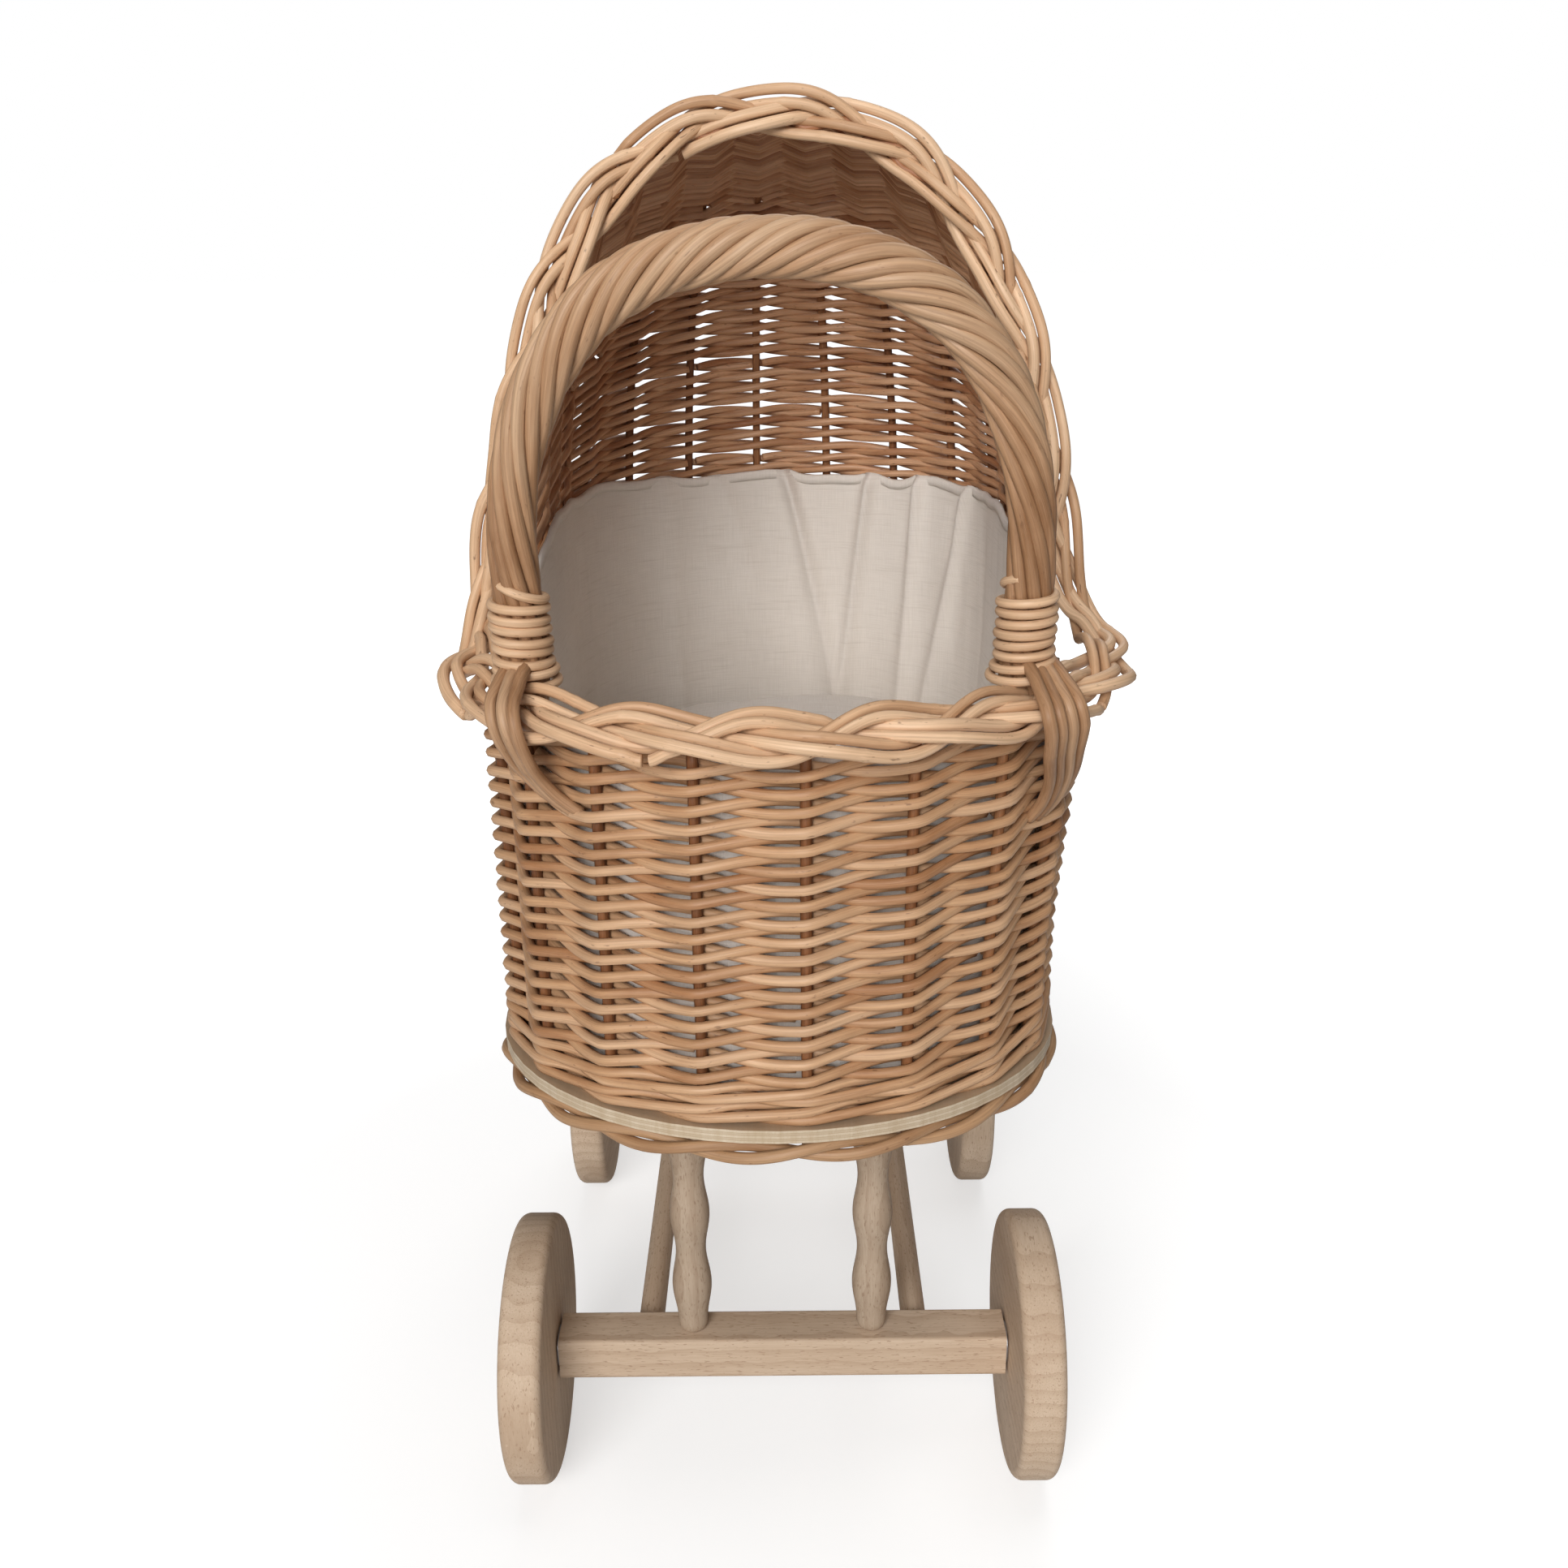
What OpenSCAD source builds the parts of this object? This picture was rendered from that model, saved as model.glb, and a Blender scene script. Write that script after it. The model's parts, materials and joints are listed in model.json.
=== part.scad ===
// Doll stroller: an oval willow basket with a woven hood and a twisted bow
// handle, on a beech chassis with four solid disc wheels.
// Millimetres. X is across, +Y is towards the hood (the way it is pushed),
// Z is up. The origin is on the ground at the centre of the overall box.

/* [Chassis] */
// Diameter of each solid beech wheel
wheel_d = 128; // [100:1:160]
// Thickness of each wheel
wheel_w = 20; // [12:0.5:28]
// Rounding radius of the wheel's rim edges
wheel_edge = 4.5; // [1:0.5:8]
// Distance between the outer faces of a left and a right wheel
track_outer = 260; // [220:1:320]
// Distance between the two axle beams
wheelbase = 260; // [200:1:320]
// Length of an axle beam along the travel direction in section
beam_y = 24; // [16:0.5:34]
// Height of an axle beam in section
beam_z = 22; // [14:0.5:32]
// Diameter of the two dowels that join the beams
stretcher_d = 12.6; // [8:0.2:18]
// Distance of each joining dowel from the middle
stretcher_x = 66; // [50:1:90]
// Distance of each turned spindle from the middle
spindle_x = 43.5; // [30:0.5:70]
// Largest diameter of a turned spindle
spindle_bulge_d = 19; // [14:0.5:26]
// Smallest diameter of a turned spindle
spindle_neck_d = 14.5; // [9:0.5:20]
// Distance from one bulge of a spindle to the next
spindle_pitch = 40; // [25:1:60]

/* [Axle bolts] */
// Diameter of the plain steel shank a wheel turns on
shank_d = 8; // [5:0.5:12]
// Radial running clearance between shank and wheel bore
run_gap = 0.05; // [0.02:0.01:0.1]
// Diameter of the recess in the wheel's outer face
recess_d = 28; // [20:1:40]
// Depth of the recess in the wheel's outer face
recess_depth = 8.5; // [6:0.5:12]
// Thickness of each washer
washer_t = 0.9; // [0.5:0.1:2]

/* [Basket] */
// Height of the underside of the plywood base board
board_z = 230; // [180:1:280]
// Thickness of the plywood base board
board_t = 6; // [3:0.5:10]
// Half of the width measured to the stakes
half_w = 119.5; // [90:0.5:150]
// Half of the straight length of each basket side
side_half = 104; // [60:1:160]
// Length of each rounded end measured to the stakes
end_ry = 102.5; // [60:0.5:140]
// How far the board reaches outside the stakes
board_out = 7.5; // [4:0.5:12]
// Number of upright stakes round the basket
stake_count = 28; // [20:2:40]
// Diameter of a stake
stake_d = 4.8; // [3:0.1:7]
// Distance of one stake from the middle of the handle end
stake_phase = 11; // [0:1:20]
// Thickness of a weaver rod
weaver_t = 4.1; // [2.5:0.1:6]
// Distance from one row of weaving to the next
row_pitch = 3.8; // [3:0.1:6]
// Number of plain woven rows
row_count = 36; // [20:1:50]
// Number of heavier rows straight above the board
wale_count = 4; // [2:1:8]
// Distance from one heavy row to the next
wale_pitch = 4.3; // [3.5:0.1:6]

/* [Borders] */
// Height of the middle of the plaited rim
rim_z = 402.5; // [360:0.5:440]
// How far the middle of the rim stands outside the stakes at the handle end
rim_out = 9.9; // [0:0.5:20]
// Extra outward flare of the rim where it meets the hood
rim_flare = 8.5; // [0:0.5:25]
// Sideways swing of each plaited strand
plait_swing = 10.5; // [5:0.5:16]
// In and out swing of each plaited strand
plait_depth = 3.9; // [2:0.1:7]
// Diameter of a plaited strand
plait_d = 5.6; // [4:0.1:8]
// Length of one full plait repeat
plait_pitch = 138; // [80:1:180]

/* [Hood] */
// Distance from the middle to the foot of the hood's front edge
hood_y = -70; // [-120:1:0]
// Backward lean of the hood's front edge per unit of height
hood_lean = 0.2; // [0:0.05:0.6]
// Half of the width of the hood's front arch
hood_half_w = 128; // [100:1:150]
// Height of the hood's front arch above the rim
hood_h = 222; // [150:1:260]
// Thickness of the woven hood wall
hood_t = 7; // [4:0.5:12]
// Extra outward flare of the arch at its foot
hood_flare = 13; // [0:0.5:24]
// How much fuller the arch's shoulders are than an ellipse, as a part of its size
hood_shoulder = 0.055; // [0:0.005:0.15]

/* [Handle] */
// Half of the distance between the handle's legs
handle_x = 98; // [80:1:115]
// Height of the middle of the handle's top
handle_z = 568; // [480:1:640]
// Height at which the straight legs begin to curve
handle_spring_z = 450; // [420:1:500]
// Position of the handle's foot along the basket
handle_y = -157; // [-190:1:-120]
// Lean of the handle towards the pusher per unit of height
handle_lean = 0.2; // [0:0.05:0.5]
// Number of rods twisted round the handle's core
strand_count = 8; // [5:1:10]
// Diameter of each twisted rod
strand_d = 5.4; // [4:0.1:7]
// Number of turns of each binding at the handle's feet
binding_turns = 8; // [4:1:12]

/* [Soft parts] */
// Thickness of the linen liner
liner_t = 1.2; // [0.6:0.1:3]
// Height of the liner's top edge at the handle end
liner_low_z = 391; // [360:1:410]
// Height of the liner's top edge inside the hood
liner_high_z = 443; // [400:1:470]
// Thickness of the mattress at its middle
mattress_t = 34; // [15:1:60]
// Height of the pillow above the mattress
pillow_h = 52; // [30:1:80]

/* [Hidden] */
$fn = 64;
wheel_r = wheel_d / 2;
wheel_in_x = track_outer / 2 - wheel_w;
beam_half = wheel_in_x - washer_t - 0.3;
beam_top = wheel_r + beam_z / 2;
shank_r = shank_d / 2;
bore_r = shank_r + run_gap;
recess_x = track_outer / 2 - recess_depth;
stretcher_half = wheelbase / 2 - beam_y / 2;
board_top = board_z + board_t;
spindle_len = board_z - beam_top;
end_arc = PI * (half_w + end_ry) / 2;
perimeter = 4 * side_half + 2 * end_arc;
stake_gap = perimeter / stake_count;
stake_r = stake_d / 2;
weave_off = stake_r + 0.3 + weaver_t / 2;
wale_z = board_top + 0.3;
weave_z = wale_z + wale_count * wale_pitch;
weave_top = weave_z + row_count * row_pitch;
foot_strand_d = 5.2;
foot_z = board_z - 5.6;
hood_u = 0.94;
hood_span = (end_arc / 2 + side_half - hood_y) * hood_u;
hood_repeats = 4.5;
binding_r = strand_d + 4 + 2.2;
liner_out = weave_off + weaver_t / 2 + 0.6;

// Shift that puts the middle of the overall box over the origin.
mid_y = 5.9;

function unit(v) = v / norm(v);
function axle_y(end) = mid_y + end * wheelbase / 2;
function wrap(s) = s - perimeter * floor(s / perimeter);

// Point on the basket's plan at distance s from the middle of the handle end,
// going towards +X, and g outside the line of stakes.
function plan(s, g) =
    let (q = wrap(s + end_arc / 2))
    let (w = half_w + g)
    let (e = end_ry + g)
    q < end_arc
        ? let (a = q / end_arc * 180 - 90)
          [w * sin(a), mid_y - side_half - e * cos(a), 0]
    : q < end_arc + 2 * side_half
        ? [w, mid_y - side_half + q - end_arc, 0]
    : q < 2 * end_arc + 2 * side_half
        ? let (a = (q - end_arc - 2 * side_half) / end_arc * 180)
          [w * cos(a), mid_y + side_half + e * sin(a), 0]
    : [-w, mid_y + 3 * side_half - q + 2 * end_arc, 0];

function stake_s(k) = stake_phase + k * stake_gap;
function outward(s) = unit(plan(s, 10) - plan(s, 0));
function smooth(v) = let (c = max(0, min(1, v))) c * c * (3 - 2 * c);

// Cross-section frame of a path: the direction ref is never along the path.
function tangent(p, i, closed) =
    let (n = len(p))
    closed ? unit(p[(i + 1) % n] - p[(i + n - 1) % n])
           : unit(p[min(i + 1, n - 1)] - p[max(i - 1, 0)]);

function ring(c, t, ref, r, n) =
    let (a = unit(cross(t, ref)))
    let (b = cross(t, a))
    [for (j = [0 : n - 1]) c + r * (cos(360 * j / n) * a + sin(360 * j / n) * b)];

// Rods along paths that keep clear of each other, as one shape.
module rods(paths, d, ref, closed = false, sides = 6) {
    m = len(paths[0]);
    pts = [for (p = paths) for (i = [0 : m - 1])
        each ring(p[i], tangent(p, i, closed), ref, d / 2, sides)];
    last = closed ? m - 1 : m - 2;
    walls = [for (k = [0 : len(paths) - 1]) for (i = [0 : last]) for (j = [0 : sides - 1])
        let (o = k * m * sides)
        let (i2 = (i + 1) % m)
        let (j2 = (j + 1) % sides)
        [o + i * sides + j, o + i2 * sides + j, o + i2 * sides + j2, o + i * sides + j2]];
    caps = closed ? [] : [for (k = [0 : len(paths) - 1])
        let (o = k * m * sides)
        each [[for (j = [0 : sides - 1]) o + j],
              [for (j = [sides - 1 : -1 : 0]) o + (m - 1) * sides + j]]];
    polyhedron(points = pts, faces = concat(walls, caps), convexity = 10);
}

// Flat outline of the basket's plan, g outside the stakes.
module outline(g, n = 84) {
    polygon([for (i = [0 : n - 1]) let (p = plan(i * perimeter / n, g)) [p[0], p[1]]]);
}

// A level woven row: it passes outside stake k where sides_at[k] is 1, and inside where it is -1.
module woven_row(z, h, sides_at) {
    translate([0, 0, z])
        linear_extrude(h)
            difference() {
                polygon([for (k = [0 : stake_count - 1])
                    let (p = plan(stake_s(k), weave_off * sides_at[k] + weaver_t / 2))
                    [p[0], p[1]]]);
                polygon([for (k = [0 : stake_count - 1])
                    let (p = plan(stake_s(k), weave_off * sides_at[k] - weaver_t / 2))
                    [p[0], p[1]]]);
            }
}

// Copies its child to the wheel at the given side (-1 left, 1 right) and end (-1 handle, 1 hood).
module at_wheel(side, end) {
    translate([0, axle_y(end), wheel_r])
        rotate([0, side * 90, 0])
            children();
}

// ---- chassis -------------------------------------------------------------

module wheel_solid() {
    e = wheel_edge;
    x0 = wheel_in_x;
    x1 = track_outer / 2;
    difference() {
        rotate_extrude()
            polygon(concat(
                [[bore_r, x0]],
                [for (a = [0 : 15 : 90]) [wheel_r - e + e * sin(a), x0 + e - e * cos(a)]],
                [for (a = [0 : 15 : 90]) [wheel_r - e + e * cos(a), x1 - e + e * sin(a)]],
                [[bore_r, x1]]));
        translate([0, 0, recess_x])
            cylinder(r = recess_d / 2, h = recess_depth + 1);
    }
}

module hub_cap_solid() {
    x1 = track_outer / 2;
    r = recess_d / 2;
    rotate_extrude()
        polygon([[0, x1 - 2.6], [r, x1 - 2.6], [r, x1 - 0.6], [r - 2, x1 - 0.1], [0, x1 + 0.5]]);
}

module axle_bolt_solid() {
    head_x = recess_x + washer_t + 0.5;
    depth = 36;
    translate([0, 0, beam_half - depth])
        cylinder(r = shank_r, h = head_x + 0.1 - beam_half + depth);
    translate([0, 0, head_x])
        cylinder(r1 = 8, r2 = 6.4, h = 3.6);
}

module washers_solid() {
    for (x = [beam_half + 0.05, recess_x + 0.2])
        translate([0, 0, x])
            difference() {
                cylinder(r = 10, h = washer_t);
                translate([0, 0, -1])
                    cylinder(r = shank_r + 0.1, h = washer_t + 2);
            }
}

module beam_solid(end) {
    bolt_depth = 36;
    r = 2;
    y = beam_y / 2 - r;
    z = beam_z / 2 - r;
    translate([0, axle_y(end), wheel_r])
        difference() {
            rotate([0, 90, 0])
                linear_extrude(2 * beam_half, center = true)
                    polygon(concat(
                        [for (a = [0 : 22.5 : 90]) [z + r * cos(a), y + r * sin(a)]],
                        [for (a = [90 : 22.5 : 180]) [-z + r * cos(a), y + r * sin(a)]],
                        [for (a = [180 : 22.5 : 270]) [-z + r * cos(a), -y + r * sin(a)]],
                        [for (a = [270 : 22.5 : 360]) [z + r * cos(a), -y + r * sin(a)]]));
            for (side = [-1, 1]) {
                rotate([0, side * 90, 0])
                    translate([0, 0, beam_half - bolt_depth - 1])
                        cylinder(r = shank_r, h = bolt_depth + 2);
                translate([side * spindle_x, 0, beam_z / 2 - 12])
                    cylinder(r = 5.05, h = 13);
                translate([side * stretcher_x, -end * (beam_y / 2 - 10), 0])
                    rotate([end * 90, 0, 0])
                        cylinder(r = 4.55, h = 11);
            }
        }
}

module stretcher_solid(side) {
    translate([side * stretcher_x, mid_y, wheel_r])
        rotate([90, 0, 0]) {
            cylinder(d = stretcher_d, h = 2 * stretcher_half - 0.2, center = true);
            cylinder(r = 4.5, h = 2 * stretcher_half + 18, center = true);
        }
}

module spindle_solid(side, end) {
    mid = (spindle_bulge_d + spindle_neck_d) / 4;
    swing = (spindle_bulge_d - spindle_neck_d) / 4;
    top = spindle_len - 0.1;
    function turned(z) = mid - swing * cos(360 * (z - 6) / spindle_pitch);
    translate([side * spindle_x, axle_y(end), beam_top])
        difference() {
            rotate_extrude()
                polygon(concat(
                    [[0, -11.5], [5, -11.5], [5, 0.1]],
                    [for (a = [0 : 18 : 90]) [5 + (turned(6) - 5) * sin(a), 6 - 5.9 * cos(a)]],
                    [for (z = [8.5 : 2.5 : top - 1]) [turned(z), z]],
                    [[turned(top), top], [0, top]]));
            translate([0, 0, top - 28])
                cylinder(r = 2, h = 30);
        }
}

module base_board() {
    color([0.84, 0.76, 0.62])
        difference() {
            translate([0, 0, board_z])
                linear_extrude(board_t)
                    outline(board_out);
            for (k = [0 : stake_count - 1])
                translate(plan(stake_s(k), 0) + [0, 0, board_z - 1])
                    cylinder(r = stake_r + 0.1, h = board_t + 2);
            for (side = [-1, 1], end = [-1, 1])
                translate([side * spindle_x, axle_y(end), board_z - 1]) {
                    cylinder(r = 2.1, h = board_t + 2);
                    translate([0, 0, board_t - 1.5])
                        cylinder(r1 = 2.1, r2 = 4.7, h = 2.6);
                }
        }
}

module board_screws() {
    color([0.6, 0.6, 0.62])
        for (side = [-1, 1], end = [-1, 1])
            translate([side * spindle_x, axle_y(end), board_top])
                rotate_extrude()
                    polygon([[0, -32], [1.2, -31], [1.9, -27], [1.9, -2.6], [4.1, -0.3], [0, -0.3]]);
}

module rear_axle_beam() {
    color([0.8, 0.66, 0.52])
        beam_solid(-1);
}

module front_axle_beam() {
    color([0.8, 0.66, 0.52])
        beam_solid(1);
}

module left_stretcher() {
    color([0.82, 0.68, 0.54])
        stretcher_solid(-1);
}

module right_stretcher() {
    color([0.82, 0.68, 0.54])
        stretcher_solid(1);
}

module spindle_rear_left() {
    color([0.82, 0.68, 0.54])
        spindle_solid(-1, -1);
}

module spindle_rear_right() {
    color([0.82, 0.68, 0.54])
        spindle_solid(1, -1);
}

module spindle_front_left() {
    color([0.82, 0.68, 0.54])
        spindle_solid(-1, 1);
}

module spindle_front_right() {
    color([0.82, 0.68, 0.54])
        spindle_solid(1, 1);
}

module wheel_rear_left() {
    color([0.8, 0.67, 0.54])
        at_wheel(-1, -1)
            wheel_solid();
}

module wheel_rear_right() {
    color([0.8, 0.67, 0.54])
        at_wheel(1, -1)
            wheel_solid();
}

module wheel_front_left() {
    color([0.8, 0.67, 0.54])
        at_wheel(-1, 1)
            wheel_solid();
}

module wheel_front_right() {
    color([0.8, 0.67, 0.54])
        at_wheel(1, 1)
            wheel_solid();
}

module hub_cap_rear_left() {
    color([0.74, 0.6, 0.46])
        at_wheel(-1, -1)
            hub_cap_solid();
}

module hub_cap_rear_right() {
    color([0.74, 0.6, 0.46])
        at_wheel(1, -1)
            hub_cap_solid();
}

module hub_cap_front_left() {
    color([0.74, 0.6, 0.46])
        at_wheel(-1, 1)
            hub_cap_solid();
}

module hub_cap_front_right() {
    color([0.74, 0.6, 0.46])
        at_wheel(1, 1)
            hub_cap_solid();
}

module axle_bolt_rear_left() {
    color([0.6, 0.6, 0.62])
        at_wheel(-1, -1)
            axle_bolt_solid();
}

module axle_bolt_rear_right() {
    color([0.6, 0.6, 0.62])
        at_wheel(1, -1)
            axle_bolt_solid();
}

module axle_bolt_front_left() {
    color([0.6, 0.6, 0.62])
        at_wheel(-1, 1)
            axle_bolt_solid();
}

module axle_bolt_front_right() {
    color([0.6, 0.6, 0.62])
        at_wheel(1, 1)
            axle_bolt_solid();
}

module axle_washers() {
    color([0.66, 0.66, 0.68])
        for (side = [-1, 1], end = [-1, 1])
            at_wheel(side, end)
                washers_solid();
}

// ---- basket --------------------------------------------------------------

module basket_stakes() {
    color([0.72, 0.5, 0.3])
        for (k = [0 : stake_count - 1])
            translate(plan(stake_s(k), 0) + [0, 0, foot_z - 4])
                cylinder(r = stake_r, h = weave_top - foot_z + 8, $fn = 24);
}

// Two rods twisted round each other under the edge of the board.
module foot_border() {
    n = 100;
    turns = 14;
    twist_r = foot_strand_d / 2 + 0.15;
    color([0.76, 0.54, 0.32])
        rods([for (k = [0, 1])
            [for (i = [0 : n - 1])
                let (s = i * perimeter / n)
                let (a = 360 * turns * i / n + 180 * k)
                plan(s, 4.4 + twist_r * cos(a)) + [0, 0, foot_z + twist_r * sin(a)]]],
            foot_strand_d, [0, 0, 1], closed = true, sides = 5);
}

module basket_waling() {
    color([0.8, 0.6, 0.38])
        for (r = [0 : wale_count - 1])
            woven_row(wale_z + r * wale_pitch, wale_pitch - 0.25,
                [for (k = [0 : stake_count - 1])
                    (k + r) % 3 == 0 && k < stake_count - 1 ? -1 : 1]);
}

module basket_weave() {
    color([0.82, 0.64, 0.42])
        for (r = [0 : row_count - 1])
            woven_row(weave_z + r * row_pitch, row_pitch - 0.25,
                [for (k = [0 : stake_count - 1]) (k + r) % 2 == 0 ? 1 : -1]);
}

// Middle line of the rim at distance s from the middle of the handle end.
function rim_spread(s) = smooth((abs(s) - 90) / (rim_end - 90));
function rim_mid(s) =
    plan(s, rim_out + rim_flare * rim_spread(s)) + [0, 0, rim_z + 4 * rim_spread(s)];
rim_end = end_arc / 2 + side_half + hood_y - 6;

module rim_border() {
    n = 66;
    tilt = 25;
    color([0.8, 0.62, 0.4])
        rods([for (k = [0 : 2])
            [for (i = [0 : n - 1])
                let (s = -rim_end + 2 * rim_end * i / (n - 1))
                let (a = 360 * s / plait_pitch + 120 * k)
                let (o = outward(s))
                let (across = cos(tilt) * o - [0, 0, sin(tilt)])
                let (up = sin(tilt) * o + [0, 0, cos(tilt)])
                rim_mid(s) + plait_swing * sin(a) * across + plait_depth * sin(2 * a) * up]],
            plait_d, [0, 0, 1], sides = 6);
}

// ---- hood ----------------------------------------------------------------

// Point of the hood's front arch: a runs from -90 (left foot) to 90 (right foot).
function arch(a, grow = 0) =
    let (full = 1 + hood_shoulder * pow(sin(2 * a), 2))
    let (z = (hood_h + grow) * full * cos(a))
    let (low = max(0, 1 - z / 50), half_w = hood_half_w + grow + hood_flare * low * low)
    [half_w * full * sin(a), mid_y + hood_y + hood_lean * z, rim_z - 2.5 + z];

// Sideways place on the hood, from -1 (left) to 1 (right), above distance s along the basket.
function hood_side(s) = (perimeter / 2 - s) * hood_u / hood_span;

// Point of the hood's surface at side u, with t from 0 (basket) to 1 (arch).
function hood(u, t, g = 0) =
    let (base = plan(perimeter / 2 - u * hood_span / hood_u, g) + [0, 0, weave_top + 0.3])
    let (top = let (p = arch(90 * u, g - 2)) [p[0] - sign(u) * 4 * abs(u), p[1], p[2]])
    let (rise = top[2] - base[2])
    let (run = base[1] - top[1])
    let (c1 = base + [0, 0, 0.85 * rise])
    let (c2 = [top[0], top[1] + 0.75 * run, top[2]])
    let (q = 1 - t)
    q * q * q * base + 3 * q * q * t * c1 + 3 * q * t * t * c2 + t * t * t * top;

module hood_weave() {
    nu = 26;
    nt = 28;
    ridge = 0.8;
    function side(i, j, g) =
        let (w = j == 0 || j == nt ? 0 : ridge * pow(cos(80 * (2 * i / nu - 1)), 1.5) * ((j % 2) * 2 - 1))
        hood(hood_u * (2 * i / nu - 1), j / nt, g + w);
    outer = [for (i = [0 : nu]) for (j = [0 : nt]) side(i, j, hood_t / 2)];
    inner = [for (i = [0 : nu]) for (j = [0 : nt]) side(i, j, -hood_t / 2)];
    o = len(outer);
    function id(i, j) = i * (nt + 1) + j;
    skin = [for (i = [0 : nu - 1]) for (j = [0 : nt - 1]) each [
        [id(i, j), id(i + 1, j), id(i + 1, j + 1)],
        [id(i, j), id(i + 1, j + 1), id(i, j + 1)],
        [o + id(i, j), o + id(i + 1, j + 1), o + id(i + 1, j)],
        [o + id(i, j), o + id(i, j + 1), o + id(i + 1, j + 1)]]];
    ends = [for (j = [0 : nt - 1]) each [
        [id(0, j), id(0, j + 1), o + id(0, j + 1)],
        [id(0, j), o + id(0, j + 1), o + id(0, j)],
        [id(nu, j), o + id(nu, j + 1), id(nu, j + 1)],
        [id(nu, j), o + id(nu, j), o + id(nu, j + 1)]]];
    lips = [for (i = [0 : nu - 1]) each [
        [id(i, 0), o + id(i, 0), o + id(i + 1, 0)],
        [id(i, 0), o + id(i + 1, 0), id(i + 1, 0)],
        [id(i, nt), o + id(i + 1, nt), o + id(i, nt)],
        [id(i, nt), id(i + 1, nt), o + id(i + 1, nt)]]];
    color([0.7, 0.47, 0.28])
        polyhedron(points = concat(outer, inner), faces = concat(skin, ends, lips), convexity = 10);
}

module hood_stakes() {
    n = 13;
    color([0.66, 0.44, 0.26])
        rods([for (k = [0 : stake_count - 1])
            let (u = hood_side(stake_s(k)))
            if (abs(u) < 0.92)
                [for (i = [0 : n]) hood(u, i / n, 0)]],
            stake_d, [1, 0, 0], sides = 5);
}

module hood_border() {
    n = 80;
    face = unit([0, -1, hood_lean]);
    color([0.8, 0.62, 0.4])
        rods([for (k = [0 : 2])
            [for (i = [0 : n - 1])
                let (a = -90 + 180 * i / (n - 1))
                let (w = 360 * hood_repeats * i / (n - 1) + 120 * k)
                arch(a, 1 + (plait_swing - 3) * sin(w)) + plait_depth * sin(2 * w) * face]],
            plait_d, face, sides = 6);
}

// ---- handle --------------------------------------------------------------

// Middle line of the handle: t from -1 (left foot) to 1 (right foot).
handle_foot_z = 372;
handle_arc = 250;
handle_leg = handle_spring_z - handle_foot_z;
handle_total = 2 * handle_leg + handle_arc;
function handle_mid(t) =
    let (d = abs(t) * handle_total / 2 - handle_arc / 2)
    let (a = min(90, max(0, 90 * (1 + min(0, d) / (handle_arc / 2)))))
    let (e = 2 / 2.3)
    let (x = handle_x * pow(sin(a), e))
    let (z = d > 0 ? handle_spring_z - d
                   : handle_spring_z + (handle_z - handle_spring_z) * pow(cos(a), e))
    [sign(t) * x, mid_y + handle_y - handle_lean * (z - rim_z), z];

function handle_frame(t) =
    let (v = unit(handle_mid(t + 0.01) - handle_mid(t - 0.01)))
    let (n = unit([0, -1, -handle_lean]))
    [unit(cross(n, v)), n];

module handle_core() {
    n = 60;
    color([0.6, 0.42, 0.26])
        rods([[for (i = [0 : n]) handle_mid(-0.999 + 1.998 * i / n)]],
            7.4, [0, 1, 0.2], sides = 8);
}

module handle_strands() {
    n = 36;
    reach = 0.72;
    lay_r = strand_d / 2 / sin(180 / strand_count) + 0.15;
    color([0.8, 0.6, 0.38])
        rods([for (k = [0 : strand_count - 1])
            [for (i = [0 : n])
                let (t = reach * (2 * i / n - 1))
                let (f = handle_frame(t))
                let (a = 360 * k / strand_count - 720 * t)
                handle_mid(t) + lay_r * (cos(a) * f[0] + sin(a) * f[1])]],
            strand_d, [0, 1, 0.2], sides = 5);
}

// A rod wound round a foot of the handle.
module binding_solid(side) {
    steps = 12;
    pitch = 4.5;
    rod = 4.2;
    z0 = rim_z + 5;
    color([0.82, 0.64, 0.42])
        rods([[for (i = [0 : steps * binding_turns])
            let (a = 360 * i / steps)
            let (z = z0 + pitch * i / steps)
            [side * handle_x + binding_r * cos(a),
             mid_y + handle_y - handle_lean * (z - rim_z) + binding_r * sin(a), z]]],
            rod, [0, 0, 1], sides = 5);
}

module handle_binding_left() {
    binding_solid(-1);
}

module handle_binding_right() {
    binding_solid(1);
}

// Ends of the handle's rods, led over the outside of the rim into the weave.
module tails_solid(side) {
    foot_s = 112;
    spread = 6.4;
    line = [[9, 410], [17, 414], [25, 409], [29, 400], [27, 388], [20, 376], [13.5, 364], [10.5, 354], [10, 345]];
    color([0.8, 0.6, 0.38])
        rods([for (k = [-1 : 1])
            [for (q = line) plan(side * (foot_s + k * spread), q[0]) + [0, 0, q[1] - 5 * abs(k)]]],
            5.2, [0, 1, 0.01], sides = 6);
}

module handle_tails_left() {
    tails_solid(-1);
}

module handle_tails_right() {
    tails_solid(1);
}

// ---- soft parts ----------------------------------------------------------

module liner() {
    z0 = board_top + 0.4;
    reach = end_ry + side_half;
    color([0.86, 0.83, 0.77])
        intersection() {
            difference() {
                translate([0, 0, z0])
                    linear_extrude(liner_high_z - z0)
                        outline(-liner_out, 72);
                translate([0, 0, z0 + liner_t])
                    linear_extrude(liner_high_z)
                        outline(-liner_out - liner_t, 72);
            }
            rotate([90, 0, 90])
                linear_extrude(2 * half_w, center = true)
                    polygon([[mid_y - reach, z0 - 1], [mid_y + reach, z0 - 1],
                        [mid_y + reach, liner_high_z], [20, liner_high_z],
                        [mid_y - reach, liner_low_z]]);
        }
}

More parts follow.
